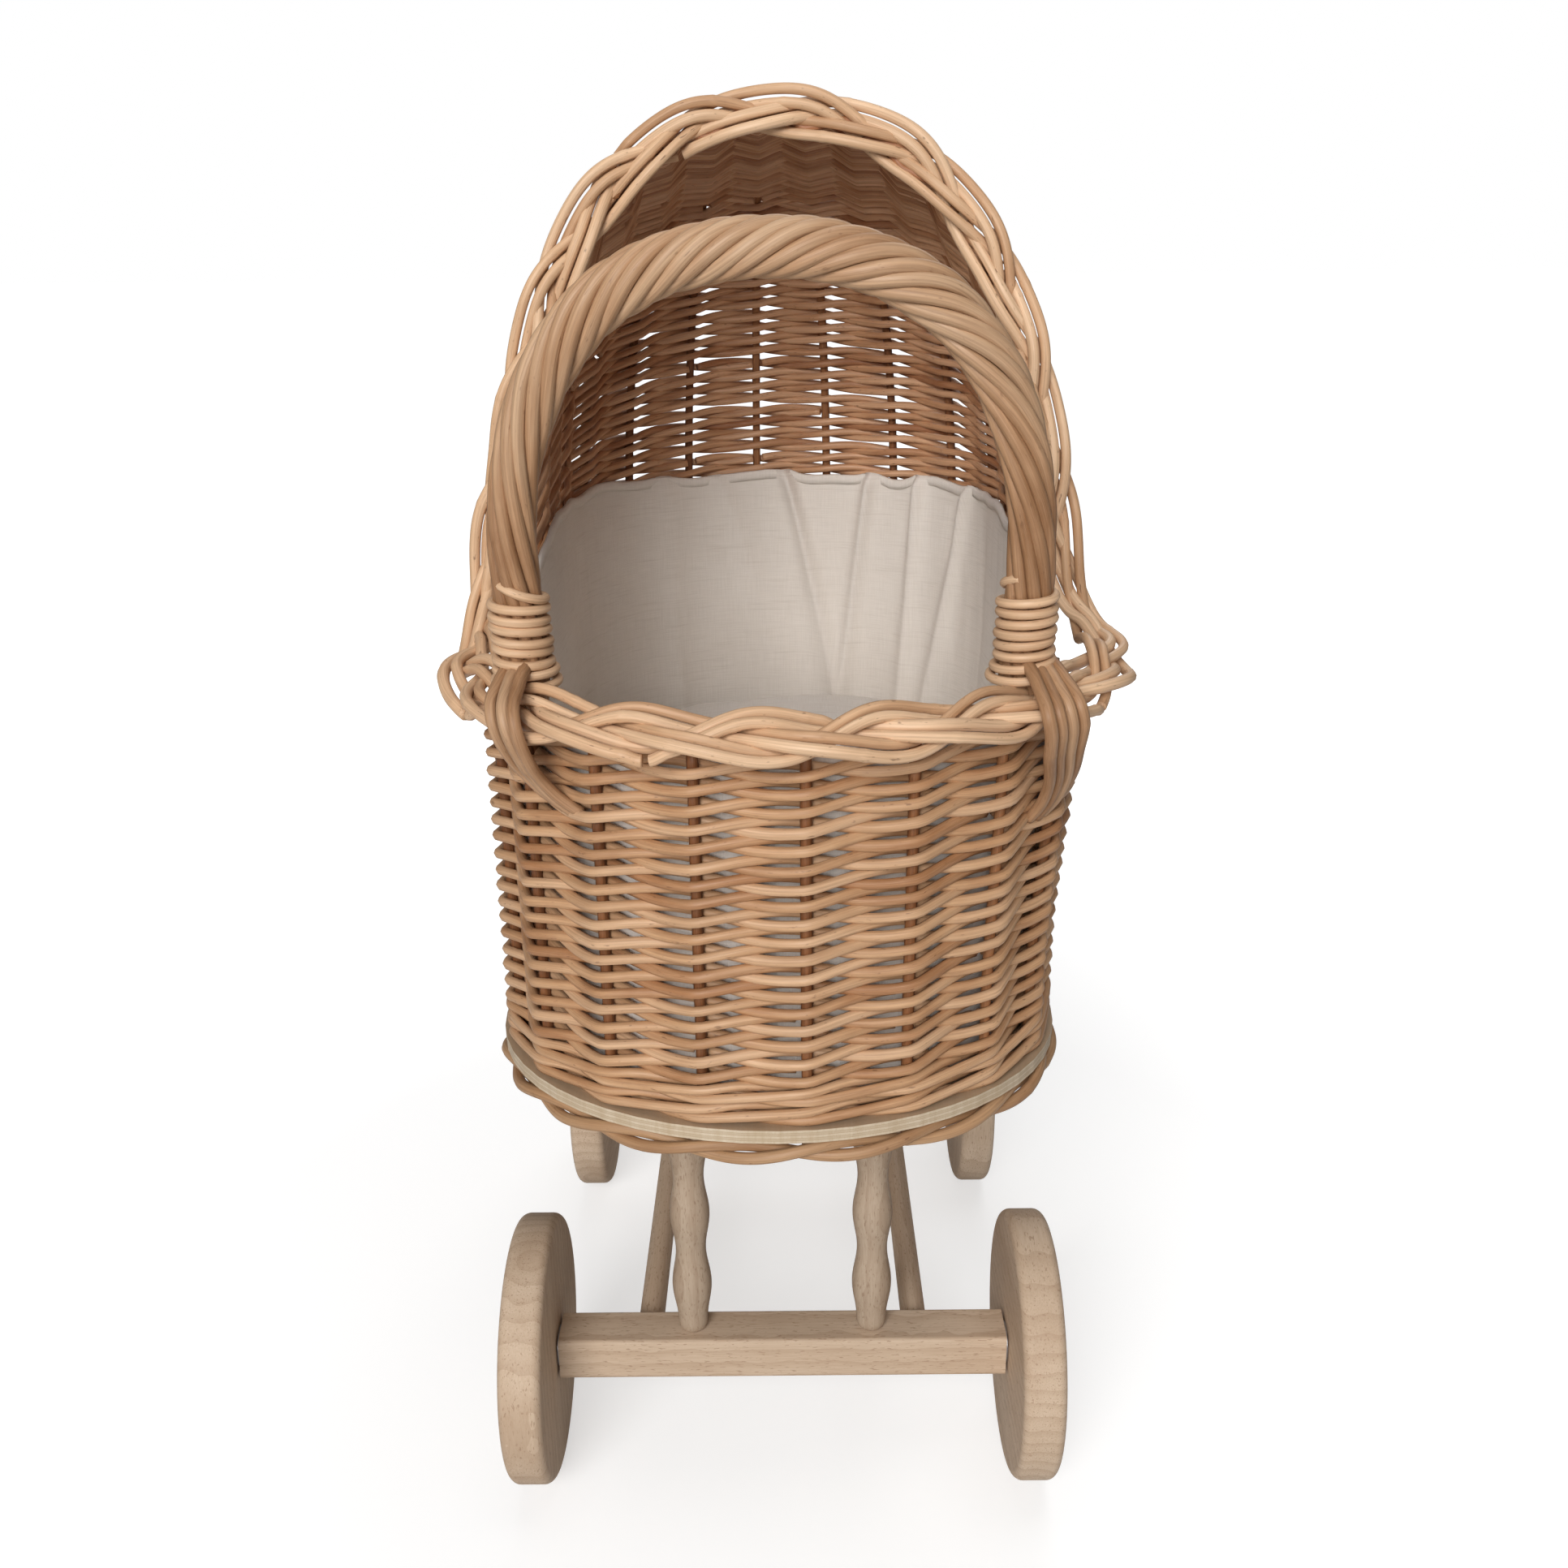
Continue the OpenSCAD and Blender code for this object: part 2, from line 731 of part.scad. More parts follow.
// A soft block with rounded edges on the basket's plan.
module mattress() {
    n = 56;
    m = 9;
    z0 = board_top + 0.4 + liner_t + 0.4;
    edge = 12;
    function level(j) = let (a = -90 + 180 * j / m) [-edge + edge * pow(max(0, cos(a)), 0.7), 0.5 + 0.5 * sin(a)];
    pts = concat(
        [for (j = [0 : m]) for (i = [0 : n - 1])
            plan(i * perimeter / n, -liner_out - liner_t - 1.6 + level(j)[0])
                + [0, 0, z0 + (mattress_t - 6) * level(j)[1]]],
        [[0, mid_y, z0], [0, mid_y, z0 + mattress_t]]);
    low = (m + 1) * n;
    walls = [for (j = [0 : m - 1]) for (i = [0 : n - 1])
        [j * n + i, (j + 1) * n + i, (j + 1) * n + (i + 1) % n, j * n + (i + 1) % n]];
    ends = [for (i = [0 : n - 1]) each [
        [low, i, (i + 1) % n],
        [low + 1, m * n + (i + 1) % n, m * n + i]]];
    color([0.87, 0.84, 0.78])
        polyhedron(points = pts, faces = concat(walls, ends), convexity = 4);
}

// A small pillow on the mattress at the hood end.
module pillow() {
    nu = 28;
    nv = 12;
    half_x = 86;
    half_y = 58;
    mid = [6, mid_y + 122, board_top + mattress_t + 2.6 + pillow_h / 2];
    function spow(v, e) = sign(v) * pow(abs(v), e);
    pts = concat(
        [for (j = [1 : nv - 1]) for (i = [0 : nu - 1])
            let (a = 360 * i / nu)
            let (b = -90 + 180 * j / nv)
            let (c = pow(cos(b), 0.8))
            mid + [half_x * c * spow(cos(a), 0.6), half_y * c * spow(sin(a), 0.6), pillow_h / 2 * sin(b)]],
        [mid - [0, 0, pillow_h / 2], mid + [0, 0, pillow_h / 2]]);
    low = (nv - 1) * nu;
    walls = [for (j = [0 : nv - 3]) for (i = [0 : nu - 1])
        [j * nu + i, (j + 1) * nu + i, (j + 1) * nu + (i + 1) % nu, j * nu + (i + 1) % nu]];
    ends = [for (i = [0 : nu - 1]) each [
        [low, i, (i + 1) % nu],
        [low + 1, (nv - 2) * nu + (i + 1) % nu, (nv - 2) * nu + i]]];
    color([0.88, 0.85, 0.8])
        polyhedron(points = pts, faces = concat(walls, ends), convexity = 4);
}

// ---- assembly ------------------------------------------------------------

base_board();
board_screws();
rear_axle_beam();
front_axle_beam();
left_stretcher();
right_stretcher();
spindle_rear_left();
spindle_rear_right();
spindle_front_left();
spindle_front_right();
wheel_rear_left();
wheel_rear_right();
wheel_front_left();
wheel_front_right();
hub_cap_rear_left();
hub_cap_rear_right();
hub_cap_front_left();
hub_cap_front_right();
axle_bolt_rear_left();
axle_bolt_rear_right();
axle_bolt_front_left();
axle_bolt_front_right();
axle_washers();
basket_stakes();
foot_border();
basket_waling();
basket_weave();
rim_border();
hood_weave();
hood_stakes();
hood_border();
handle_core();
handle_strands();
handle_binding_left();
handle_binding_right();
handle_tails_left();
handle_tails_right();
liner();
mattress();
pillow();
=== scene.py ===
"""Looks of the doll stroller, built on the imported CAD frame.

Every willow rod is drawn on its own, along the path that a weaver lays it in. Layout
functions work in millimetres in the CAD's frame, and meshes are made in metres.
"""

import json
import math

import bmesh
import bpy
import numpy as np
from mathutils import Matrix, Vector


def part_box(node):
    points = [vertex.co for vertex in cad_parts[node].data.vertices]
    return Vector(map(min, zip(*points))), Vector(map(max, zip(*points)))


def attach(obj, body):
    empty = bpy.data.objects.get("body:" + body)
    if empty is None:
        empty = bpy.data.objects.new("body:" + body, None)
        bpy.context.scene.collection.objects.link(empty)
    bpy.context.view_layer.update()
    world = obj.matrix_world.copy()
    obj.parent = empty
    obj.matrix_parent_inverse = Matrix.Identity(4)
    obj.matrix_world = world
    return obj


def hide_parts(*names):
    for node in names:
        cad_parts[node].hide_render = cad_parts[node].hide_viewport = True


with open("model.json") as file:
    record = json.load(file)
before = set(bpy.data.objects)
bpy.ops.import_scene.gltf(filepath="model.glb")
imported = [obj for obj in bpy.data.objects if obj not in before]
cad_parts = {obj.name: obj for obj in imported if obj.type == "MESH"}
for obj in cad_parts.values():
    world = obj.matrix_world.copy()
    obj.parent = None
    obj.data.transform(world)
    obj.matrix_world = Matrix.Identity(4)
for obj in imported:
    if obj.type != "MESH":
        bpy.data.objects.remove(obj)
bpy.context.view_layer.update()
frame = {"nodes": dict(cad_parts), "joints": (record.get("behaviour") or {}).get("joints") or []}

MM = 0.001
rng = np.random.default_rng(11)
collection = bpy.context.scene.collection

# ---- sizes, in millimetres, as in the CAD design ---------------------------

HALF_W, SIDE_HALF, END_RY = 119.5, 104.0, 102.5
STAKES, STAKE_PHASE, STAKE_D = 28, 11.0, 4.8
RIGHT_BULGE, BULGE_FROM, BULGE_REACH = 7.0, 270.0, 110.0
END_ARC = math.pi * (HALF_W + END_RY) / 2
PERIMETER = 4 * SIDE_HALF + 2 * END_ARC
GAP = PERIMETER / STAKES

joint_at = {j["name"]: np.array(j["pos_m"]) / MM for j in frame["joints"]}
REAR_Y = joint_at["spin_rear_left"][1]
FRONT_Y = joint_at["spin_front_left"][1]
MID_Y = (REAR_Y + FRONT_Y) / 2
AXLE_Z = joint_at["spin_rear_left"][2]


def top_of(node):
    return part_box(node)[1][2] / MM


def bottom_of(node):
    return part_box(node)[0][2] / MM


BOARD_TOP = top_of("base_board")
BOARD_Z = bottom_of("base_board")
WALE_Z = bottom_of("basket_waling")
WEAVE_Z = bottom_of("basket_weave")
WEAVE_TOP = 390.3
STAKE_FOOT = bottom_of("basket_stakes")
RIM_Z, RIM_OUT, RIM_FLARE, RIM_FLARE_LEFT = 402.5, 9.9, 6.0, 0.0
HOOD_Y, HOOD_LEAN, HOOD_HALF_W, HOOD_H = -70.0, 0.2, 128.0, 222.0
HOOD_FLARE, HOOD_FLARE_LEFT, FLARE_H = 15.0, 14.0, 50.0
SHOULDER_LEFT, SHOULDER_RIGHT = 0.042, 0.056
DRAWN_IN_LEFT, DRAWN_IN_RIGHT = 7.0, 2.0
HOOD_U = 0.94
HOOD_REACH = END_ARC / 2 + SIDE_HALF - HOOD_Y
HANDLE_X, HANDLE_Z, HANDLE_SPRING = 98.0, 568.0, 450.0
HANDLE_Y, HANDLE_LEAN, HANDLE_ARC, HANDLE_LEG = -157.0, 0.2, 250.0, 78.0


# ---- layout of the basket, the hood and the handle --------------------------

def unit(v):
    return v / np.linalg.norm(v, axis=-1, keepdims=True)


def smooth(v):
    c = np.clip(v, 0, 1)
    return c * c * (3 - 2 * c)


def hill(x, width):
    return np.exp(-(x / width) ** 2)


def wander(x, scale, amount, seed):
    """A slow random curve over x, the same for the same seed."""
    r = np.random.default_rng(seed)
    total = np.zeros_like(x, dtype=float)
    for octave in (1.0, 1.9, 3.7):
        total += np.sin(x * octave / scale * 2 * np.pi + r.uniform(0, 7)) / octave
    return total * amount / 1.5


def plan(s, g=0.0, z=0.0):
    """Point at distance s along the line of stakes from the handle end, and g outside it."""
    s, g, z = np.broadcast_arrays(np.asarray(s, float), g, z)
    q = np.mod(s + END_ARC / 2, PERIMETER)
    w, e = HALF_W + g, END_RY + g
    near = q / END_ARC * np.pi - np.pi / 2
    far = (q - END_ARC - 2 * SIDE_HALF) / END_ARC * np.pi
    part = [q < END_ARC, q < END_ARC + 2 * SIDE_HALF, q < 2 * END_ARC + 2 * SIDE_HALF]
    x = np.select(part, [w * np.sin(near), w, w * np.cos(far)], -w)
    y = np.select(part, [-SIDE_HALF - e * np.cos(near), q - END_ARC - SIDE_HALF,
                         SIDE_HALF + e * np.sin(far)], 3 * SIDE_HALF + 2 * END_ARC - q)
    # The right wall bulges a little more than the left one, towards the rim.
    x = x + RIGHT_BULGE * np.clip(x / HALF_W, 0, 1) ** 3 * smooth((z - BULGE_FROM) / BULGE_REACH)
    return np.stack([x, y + MID_Y, z], -1)


def outward(s):
    return unit(plan(s, 10.0) - plan(s, 0.0))


def stake_s(k):
    return STAKE_PHASE + np.asarray(k, float) * GAP


def between_stakes(k, z, straight=0.8):
    """Point of a rod's middle line at stake number k, drawn tight from stake to stake."""
    low = np.floor(k)
    part = (k - low)[:, None]
    chord = plan(stake_s(low), 0, z) * (1 - part) + plan(stake_s(low + 1), 0, z) * part
    p = chord * straight + plan(stake_s(k), 0, z) * (1 - straight)
    p[:, 2] = z
    return p


def bezier(t, p, c1, c2, q):
    """Points of a cubic curve from p to q, with its two control points."""
    s = 1 - t
    return s ** 3 * p + 3 * s * s * t * c1 + 3 * s * t * t * c2 + t ** 3 * q


def arch(a, grow=0.0):
    """Front edge of the hood: a runs from -pi/2 at the left foot to pi/2 at the right foot.

    It is an ellipse with full shoulders. It flares at its feet and is drawn in above them,
    and its halves differ a little."""
    left = np.asarray(a) < 0
    full = 1 + np.where(left, SHOULDER_LEFT, SHOULDER_RIGHT) * np.sin(2 * a) ** 2
    z = (HOOD_H + grow) * full * np.cos(a)
    low = np.maximum(0, 1 - z / FLARE_H)
    half_w = HOOD_HALF_W + grow + np.where(left, HOOD_FLARE_LEFT, HOOD_FLARE) * low ** 2
    drawn_in = np.where(left, DRAWN_IN_LEFT, DRAWN_IN_RIGHT) * smooth((z - 30) / 60)
    x = (half_w - drawn_in) * full * np.sin(a)
    return np.stack([x, MID_Y + HOOD_Y + HOOD_LEAN * z, RIM_Z - 2.5 + z], -1)


def hood(k, t):
    """Point of the hood above stake number k, with t from 0 at the basket to 1 at the arch."""
    k, t = np.broadcast_arrays(np.asarray(k, float), np.asarray(t, float))
    u = (PERIMETER / 2 - stake_s(k)) / HOOD_REACH
    base = plan(stake_s(k), 0.0, WEAVE_TOP + 0.3)
    top = arch(np.pi / 2 * u, -2.0)
    top[..., 0] -= np.sign(u) * 4 * np.abs(u)
    c1, c2 = base.copy(), top.copy()
    c1[..., 2] += 0.85 * (top[..., 2] - base[..., 2])
    c2[..., 1] += 0.75 * (base[..., 1] - top[..., 1])
    return bezier(t[..., None], base, c1, c2, top)


def hood_frame(k, t):
    """Point, outward direction and direction towards the next row."""
    step = 0.02
    p = hood(k, t)
    across = hood(np.add(k, step), t) - hood(np.subtract(k, step), t)
    up = unit(hood(k, np.add(t, step)) - hood(k, np.subtract(t, step)))
    out = unit(np.cross(across, up))
    return p, out, up


def rim_spread(s, end):
    return smooth((np.abs(s) - 90) / (end - 90))


def handle_line(steps=400):
    """Middle line of the handle from the left foot to the right foot, evenly spaced."""
    t = np.linspace(-1, 1, 4001)
    d = np.abs(t) * (HANDLE_LEG + HANDLE_ARC / 2) - HANDLE_ARC / 2
    a = np.clip(np.pi / 2 * (1 + np.minimum(0, d) / (HANDLE_ARC / 2)), 0, np.pi / 2)
    e = 2 / 2.3
    x = np.sign(t) * HANDLE_X * np.sin(a) ** e
    bend = HANDLE_SPRING + (HANDLE_Z - HANDLE_SPRING) * np.abs(np.cos(a)) ** e
    z = np.where(d > 0, HANDLE_SPRING - d, bend)
    y = MID_Y + HANDLE_Y - HANDLE_LEAN * (z - RIM_Z)
    return evenly(np.stack([x, y, z], -1), steps)


def lengths(path):
    return np.concatenate([[0], np.cumsum(np.linalg.norm(np.diff(path, axis=0), axis=1))])


def evenly(path, count):
    """The path's points moved along it until they are evenly spaced."""
    along = lengths(path)
    at = np.linspace(0, along[-1], count)
    return np.stack([np.interp(at, along, path[:, i]) for i in range(path.shape[1])], -1)


def through(points, count):
    """A smooth open curve through a few points (Catmull-Rom), evenly spaced."""
    p = np.asarray(points, float)
    p = np.vstack([2 * p[0] - p[1], p, 2 * p[-1] - p[-2]])
    t = np.linspace(0, 1, 24)[:, None]
    parts = []
    for a, b, c, d in zip(p, p[1:], p[2:], p[3:]):
        parts.append(0.5 * (2 * b + (c - a) * t + (2 * a - 5 * b + 4 * c - d) * t ** 2
                            + (3 * b - a - 3 * c + d) * t ** 3))
    return evenly(np.vstack(parts), count)


# ---- meshes -----------------------------------------------------------------

def link(name, data):
    """A new object in the scene."""
    obj = bpy.data.objects.new(name, data)
    collection.objects.link(obj)
    return obj


def new_object(name, mesh, material, body, nodes):
    obj = link(name, mesh)
    mesh.materials.append(material)
    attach(obj, body)
    if nodes:
        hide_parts(*nodes)
    return obj


def fill_mesh(name, points, loops, sizes):
    """A smooth-shaded mesh from points in millimetres and its faces' corners."""
    mesh = bpy.data.meshes.new(name)
    mesh.vertices.add(len(points))
    mesh.vertices.foreach_set("co", (np.asarray(points) * MM).astype(np.float32).ravel())
    mesh.loops.add(len(loops))
    mesh.loops.foreach_set("vertex_index", np.asarray(loops, np.int32))
    mesh.polygons.add(len(sizes))
    starts = np.concatenate([[0], np.cumsum(sizes)[:-1]]).astype(np.int32)
    mesh.polygons.foreach_set("loop_start", starts)
    mesh.polygons.foreach_set("use_smooth", np.ones(len(sizes), bool))
    mesh.update(calc_edges=True)
    return mesh


def grid_faces(rows, columns, wrap_columns=False, start=0):
    """Corners of the quads of a grid of points, row by row."""
    i = np.arange(rows - 1)[:, None]
    j = np.arange(columns if wrap_columns else columns - 1)[None, :]
    j2 = (j + 1) % columns
    a, b = i * columns + j, i * columns + j2
    c, d = (i + 1) * columns + j2, (i + 1) * columns + j
    return start + np.stack([a, b, c, d], -1).reshape(-1)


def tube_faces(rows, columns, start=0):
    """Corners and sizes of the faces of a tube made of rings, with both ends closed."""
    quads = (rows - 1) * columns
    ends = start + np.arange(columns)
    loops = np.concatenate([grid_faces(rows, columns, True, start), ends[::-1], quads + ends])
    return loops, np.array([4] * quads + [columns] * 2)


def store(mesh, name, values):
    """Keeps a number or a vector for each point of a mesh, for its material."""
    kind, key = ("FLOAT", "value") if values.ndim == 1 else ("FLOAT_VECTOR", "vector")
    attribute = mesh.attributes.new(name, kind, "POINT")
    attribute.data.foreach_set(key, values.astype(np.float32).ravel())


class Rods:
    """Round rods gathered into one mesh, each with its own tone and its own wood grain."""

    def __init__(self, sides=8):
        self.sides = sides
        self.points, self.grain, self.tone, self.loops, self.sizes = [], [], [], [], []
        self.count = 0

    def add(self, path, d, ref, tone=None, taper=0.0, knots=True):
        """path is the middle line, ref a direction that it never runs along, and tone the
        shade of the whole rod or of each of its points."""
        n, m = len(path), self.sides
        t = unit(np.gradient(path, axis=0))
        a = unit(np.cross(t, np.broadcast_to(ref, path.shape)))
        b = np.cross(t, a)
        along = lengths(path)
        part = along / along[-1]
        phase = rng.uniform(0, 7, 2)
        r = d / 2 * (1 + taper * (0.5 - part) + 0.025 * np.sin(along / 23 + phase[0])
                     + 0.015 * np.sin(along / 7.1 + phase[1]))
        if knots:
            for knot in np.arange(rng.uniform(10, 90), along[-1], rng.uniform(70, 120)):
                r = r * (1 + 0.07 * hill(along - knot, 1.6))
        angle = 2 * np.pi * np.arange(m) / m
        c, s = np.cos(angle)[None, :, None], np.sin(angle)[None, :, None]
        ring = path[:, None] + r[:, None, None] * (c * a[:, None] + s * b[:, None])
        spin = rng.uniform(0, 7)
        grain = np.empty((n, m, 3))
        grain[..., 0] = (along[:, None] + rng.uniform(0, 4000)) * MM
        grain[..., 1] = r[:, None] * np.cos(angle + spin)[None] * MM
        grain[..., 2] = r[:, None] * np.sin(angle + spin)[None] * MM
        self.points.append(ring.reshape(-1, 3))
        self.grain.append(grain.reshape(-1, 3))
        shade = np.broadcast_to(rng.uniform(0, 1) if tone is None else tone, n)
        self.tone.append(np.repeat(np.clip(shade, 0, 1), m))
        loops, sizes = tube_faces(n, m, self.count)
        self.loops.append(loops)
        self.sizes.append(sizes)
        self.count += n * m

    def build(self, name, material, slot, nodes):
        mesh = fill_mesh(name, np.vstack(self.points), np.concatenate(self.loops),
                         np.concatenate(self.sizes))
        store(mesh, "grain", np.vstack(self.grain))
        store(mesh, "tone", np.concatenate(self.tone))
        new_object(name, mesh, material, "carriage", nodes)


# ---- materials --------------------------------------------------------------

def linear(r, g, b):
    """A colour given in 0 to 255 sRGB values."""
    return tuple(((c / 255 + 0.055) / 1.055) ** 2.4 if c > 10 else c / 3294
                 for c in (r, g, b)) + (1.0,)


class Graph:
    """A node material written as nested calls."""

    def __init__(self, name, roughness, **inputs):
        self.material = bpy.data.materials.new(name)
        self.material.use_nodes = True
        self.tree = self.material.node_tree
        self.shader = self.tree.nodes["Principled BSDF"]
        self.rough(roughness)
        for key, value in inputs.items():
            self.put(self.shader.inputs[key.replace("_", " ")], value)

    def put(self, socket, value):
        if isinstance(value, bpy.types.NodeSocket):
            self.tree.links.new(value, socket)
        else:
            socket.default_value = value

    def node(self, kind, output=0, inputs=(), **settings):
        n = self.tree.nodes.new("ShaderNode" + kind)
        for key, value in settings.items():
            setattr(n, key, value)
        for key, value in dict(inputs).items():
            self.put(n.inputs[key], value)
        return n.outputs[output]

    def attribute(self, name, output):
        return self.node("Attribute", output, attribute_name=name)

    def place(self):
        return self.node("TexCoord", "Object")

    def stretch(self, vector, scale, move=(0, 0, 0)):
        return self.node("Mapping", 0, {"Vector": vector, "Scale": scale, "Location": move})

    def noise(self, vector, stretch, detail=3.0, move=(0, 0, 0), roughness=0.55):
        """Noise, stretched by a number of repeats to the metre along each axis."""
        return self.node("TexNoise", 0, {"Vector": self.stretch(vector, stretch, move),
                                         "Scale": 1.0, "Detail": detail,
                                         "Roughness": roughness})

    def math(self, operation, a, b=0.0, clamp=False):
        return self.node("Math", 0, {0: a, 1: b}, operation=operation, use_clamp=clamp)

    def span(self, value, low, high, to_low=0.0, to_high=1.0):
        return self.node("MapRange", 0, {"Value": value, "From Min": low, "From Max": high,
                                         "To Min": to_low, "To Max": to_high})

    def ramp(self, value, *stops):
        n = self.tree.nodes.new("ShaderNodeValToRGB")
        self.put(n.inputs[0], value)
        elements = n.color_ramp.elements
        while len(elements) < len(stops):
            elements.new(0.5)
        for element, (place, colour) in zip(elements, stops):
            element.position, element.color = place, colour
        return n.outputs[0]

    def mix(self, amount, a, b, blend="MIX"):
        n = self.tree.nodes.new("ShaderNodeMix")
        n.data_type, n.blend_type = "RGBA", blend
        self.put(n.inputs[0], amount)
        self.put(n.inputs[6], a)
        self.put(n.inputs[7], b)
        return n.outputs[2]

    def over(self, base, value, low, high, amount, colour):
        """Lays a colour over the base, up to an amount, where a value is high."""
        return self.mix(self.span(value, low, high, 0.0, amount), base, colour)

    def rough(self, value):
        self.put(self.shader.inputs["Roughness"], value)

    def colour(self, value):
        self.put(self.shader.inputs["Base Color"], value)

    def bump(self, height, strength, distance, below=None):
        inputs = {"Height": height, "Strength": strength, "Distance": distance}
        if below is not None:
            inputs["Normal"] = below
        normal = self.node("Bump", 0, inputs)
        self.put(self.shader.inputs["Normal"], normal)
        return normal


def willow(name, pale, middle, deep, wear):
    """Peeled willow: each rod has its own tone, with long streaks, mottling and dark nicks."""
    g = Graph(name, 0.5, Specular_IOR_Level=0.42)
    grain = g.attribute("grain", "Vector")
    tone = g.attribute("tone", "Fac")
    streak = g.noise(grain, (22, 1300, 1300), 4.0)
    fine = g.noise(grain, (90, 4200, 4200), 2.0)
    patch = g.noise(grain, (34, 150, 150), 3.0)
    nick = g.noise(grain, (170, 620, 620), 2.0, (3, 5, 9), roughness=0.7)
    shifted = g.math("ADD", tone, g.span(patch, 0.3, 0.7, -0.26, 0.26), clamp=True)
    base = g.ramp(shifted, (0.0, pale), (0.5, middle), (1.0, deep))
    lined = g.over(base, streak, 0.35, 0.72, 0.5, tuple(c * 0.62 for c in deep[:3]) + (1.0,))
    bright = g.over(lined, fine, 0.5, 0.8, 0.3,
                    tuple(min(1, c * 1.15) for c in pale[:3]) + (1.0,))
    g.colour(g.over(bright, nick, 0.66, 0.74, wear, linear(92, 56, 34)))
    g.rough(g.span(streak, 0.3, 0.7, 0.4, 0.6))
    first = g.bump(streak, 0.35, 0.0005)
    g.bump(fine, 0.2, 0.0002, first)
    return g.material


def beech(name, fibre, ring_centre, shade=1.0):
    """Unvarnished beech with growth rings round a far axis and short flecks along the fibre."""
    g = Graph(name, 0.62, Specular_IOR_Level=0.3)
    place = g.place()
    def along(length, across):
        return tuple(length if axis == fibre else across for axis in "XYZ")
    moved = g.stretch(place, (1, 1, 1), tuple(-c * MM for c in ring_centre))
    wave = g.node("TexWave", "Fac", {"Vector": moved, "Scale": 46.0, "Distortion": 2.6,
                                     "Detail": 2.0, "Detail Scale": 1.2},
                  wave_type="RINGS", rings_direction=fibre, wave_profile="SAW")
    broad = g.noise(place, along(5, 34), 3.0)
    fibres = g.noise(place, along(60, 1500), 3.0)
    fleck = g.noise(place, along(260, 1250), 1.0, (2, 4, 6))
    # shade scales every colour of the wood; the spindles get a low one as painted shade.
    def tint(r, gr, b):
        return linear(r * shade, gr * shade, b * shade)
    base = g.ramp(broad, (0.25, tint(214, 192, 168)), (0.5, tint(203, 179, 154)),
                  (0.78, tint(188, 161, 135)))
    ringed = g.over(base, wave, 0.45, 1.0, 0.42, tint(172, 143, 117))
    lined = g.over(ringed, fibres, 0.42, 0.75, 0.35, tint(170, 140, 113))
    g.colour(g.over(lined, fleck, 0.62, 0.7, 0.5, tint(144, 110, 84)))
    g.rough(g.span(fibres, 0.3, 0.7, 0.52, 0.72))
    first = g.bump(fibres, 0.25, 0.0003)
    g.bump(fleck, -0.15, 0.0002, first)
    return g.material


def plywood():
    """Birch plywood: plies that show on the edge, and a plain face grain along Y."""
    g = Graph("plywood", 0.6, Specular_IOR_Level=0.3)
    place = g.place()
    height = g.node("SeparateXYZ", "Z", {0: place})
    ply = g.span(height, BOARD_Z * MM, BOARD_TOP * MM, 0.0, 5.0)
    inside = g.math("FRACT", ply)
    glue = g.math("GREATER_THAN", g.math("ABSOLUTE", g.math("SUBTRACT", inside, 0.5)), 0.44)
    cross = g.math("MODULO", g.math("FLOOR", ply), 2.0)
    face = g.noise(place, (300, 14, 40), 4.0)
    pores = g.noise(place, (1400, 900, 900), 2.0)
    base = g.ramp(face, (0.3, linear(208, 192, 168)), (0.7, linear(190, 170, 142)))
    plies = g.mix(g.math("MULTIPLY", cross, 0.4), base, linear(170, 146, 118))
    glued = g.mix(g.math("MULTIPLY", glue, 0.55), plies, linear(150, 118, 88))
    g.colour(g.over(glued, pores, 0.55, 0.75, 0.4, linear(176, 150, 120)))
    g.bump(pores, 0.3, 0.0003)
    return g.material


def steel():
    g = Graph("zinc_steel", 0.4, Metallic=0.9)
    cloud = g.noise(g.place(), (400, 400, 400), 4.0)
    g.colour(g.ramp(cloud, (0.3, (0.42, 0.42, 0.44, 1)), (0.7, (0.6, 0.6, 0.62, 1))))
    g.rough(g.span(cloud, 0.3, 0.7, 0.3, 0.5))
    g.bump(cloud, 0.1, 0.0001)
    return g.material


def linen(name, pale, dark):
    """Washed linen: threads both ways, with thicker slubs here and there."""
    g = Graph(name, 0.9, Specular_IOR_Level=0.15, Sheen_Weight=0.15, Sheen_Roughness=0.6)
    cloth = g.attribute("cloth", "Vector")
    warp = g.noise(cloth, (2300, 60, 60), 2.0)
    weft = g.noise(cloth, (60, 2300, 60), 2.0, (5, 1, 0))
    slub = g.noise(cloth, (26, 620, 26), 3.0, (1, 7, 0))
    slub_up = g.noise(cloth, (620, 26, 26), 3.0, (4, 2, 0))
    cloud = g.node("TexNoise", 0, {"Vector": cloth, "Scale": 9.0, "Detail": 3.0,
                                   "Roughness": 0.55})
    threads = g.math("ADD", warp, weft)
    base = g.mix(g.span(cloud, 0.3, 0.7), pale, dark)
    woven = g.over(base, threads, 0.8, 1.25, 0.2, linear(186, 174, 160))
    lumpy = g.over(woven, slub, 0.56, 0.74, 0.3, linear(196, 184, 170))
    g.colour(g.over(lumpy, slub_up, 0.58, 0.76, 0.12, linear(236, 230, 221)))
    first = g.bump(threads, 0.5, 0.0004)
    g.bump(slub, 0.3, 0.0003, first)
    return g.material


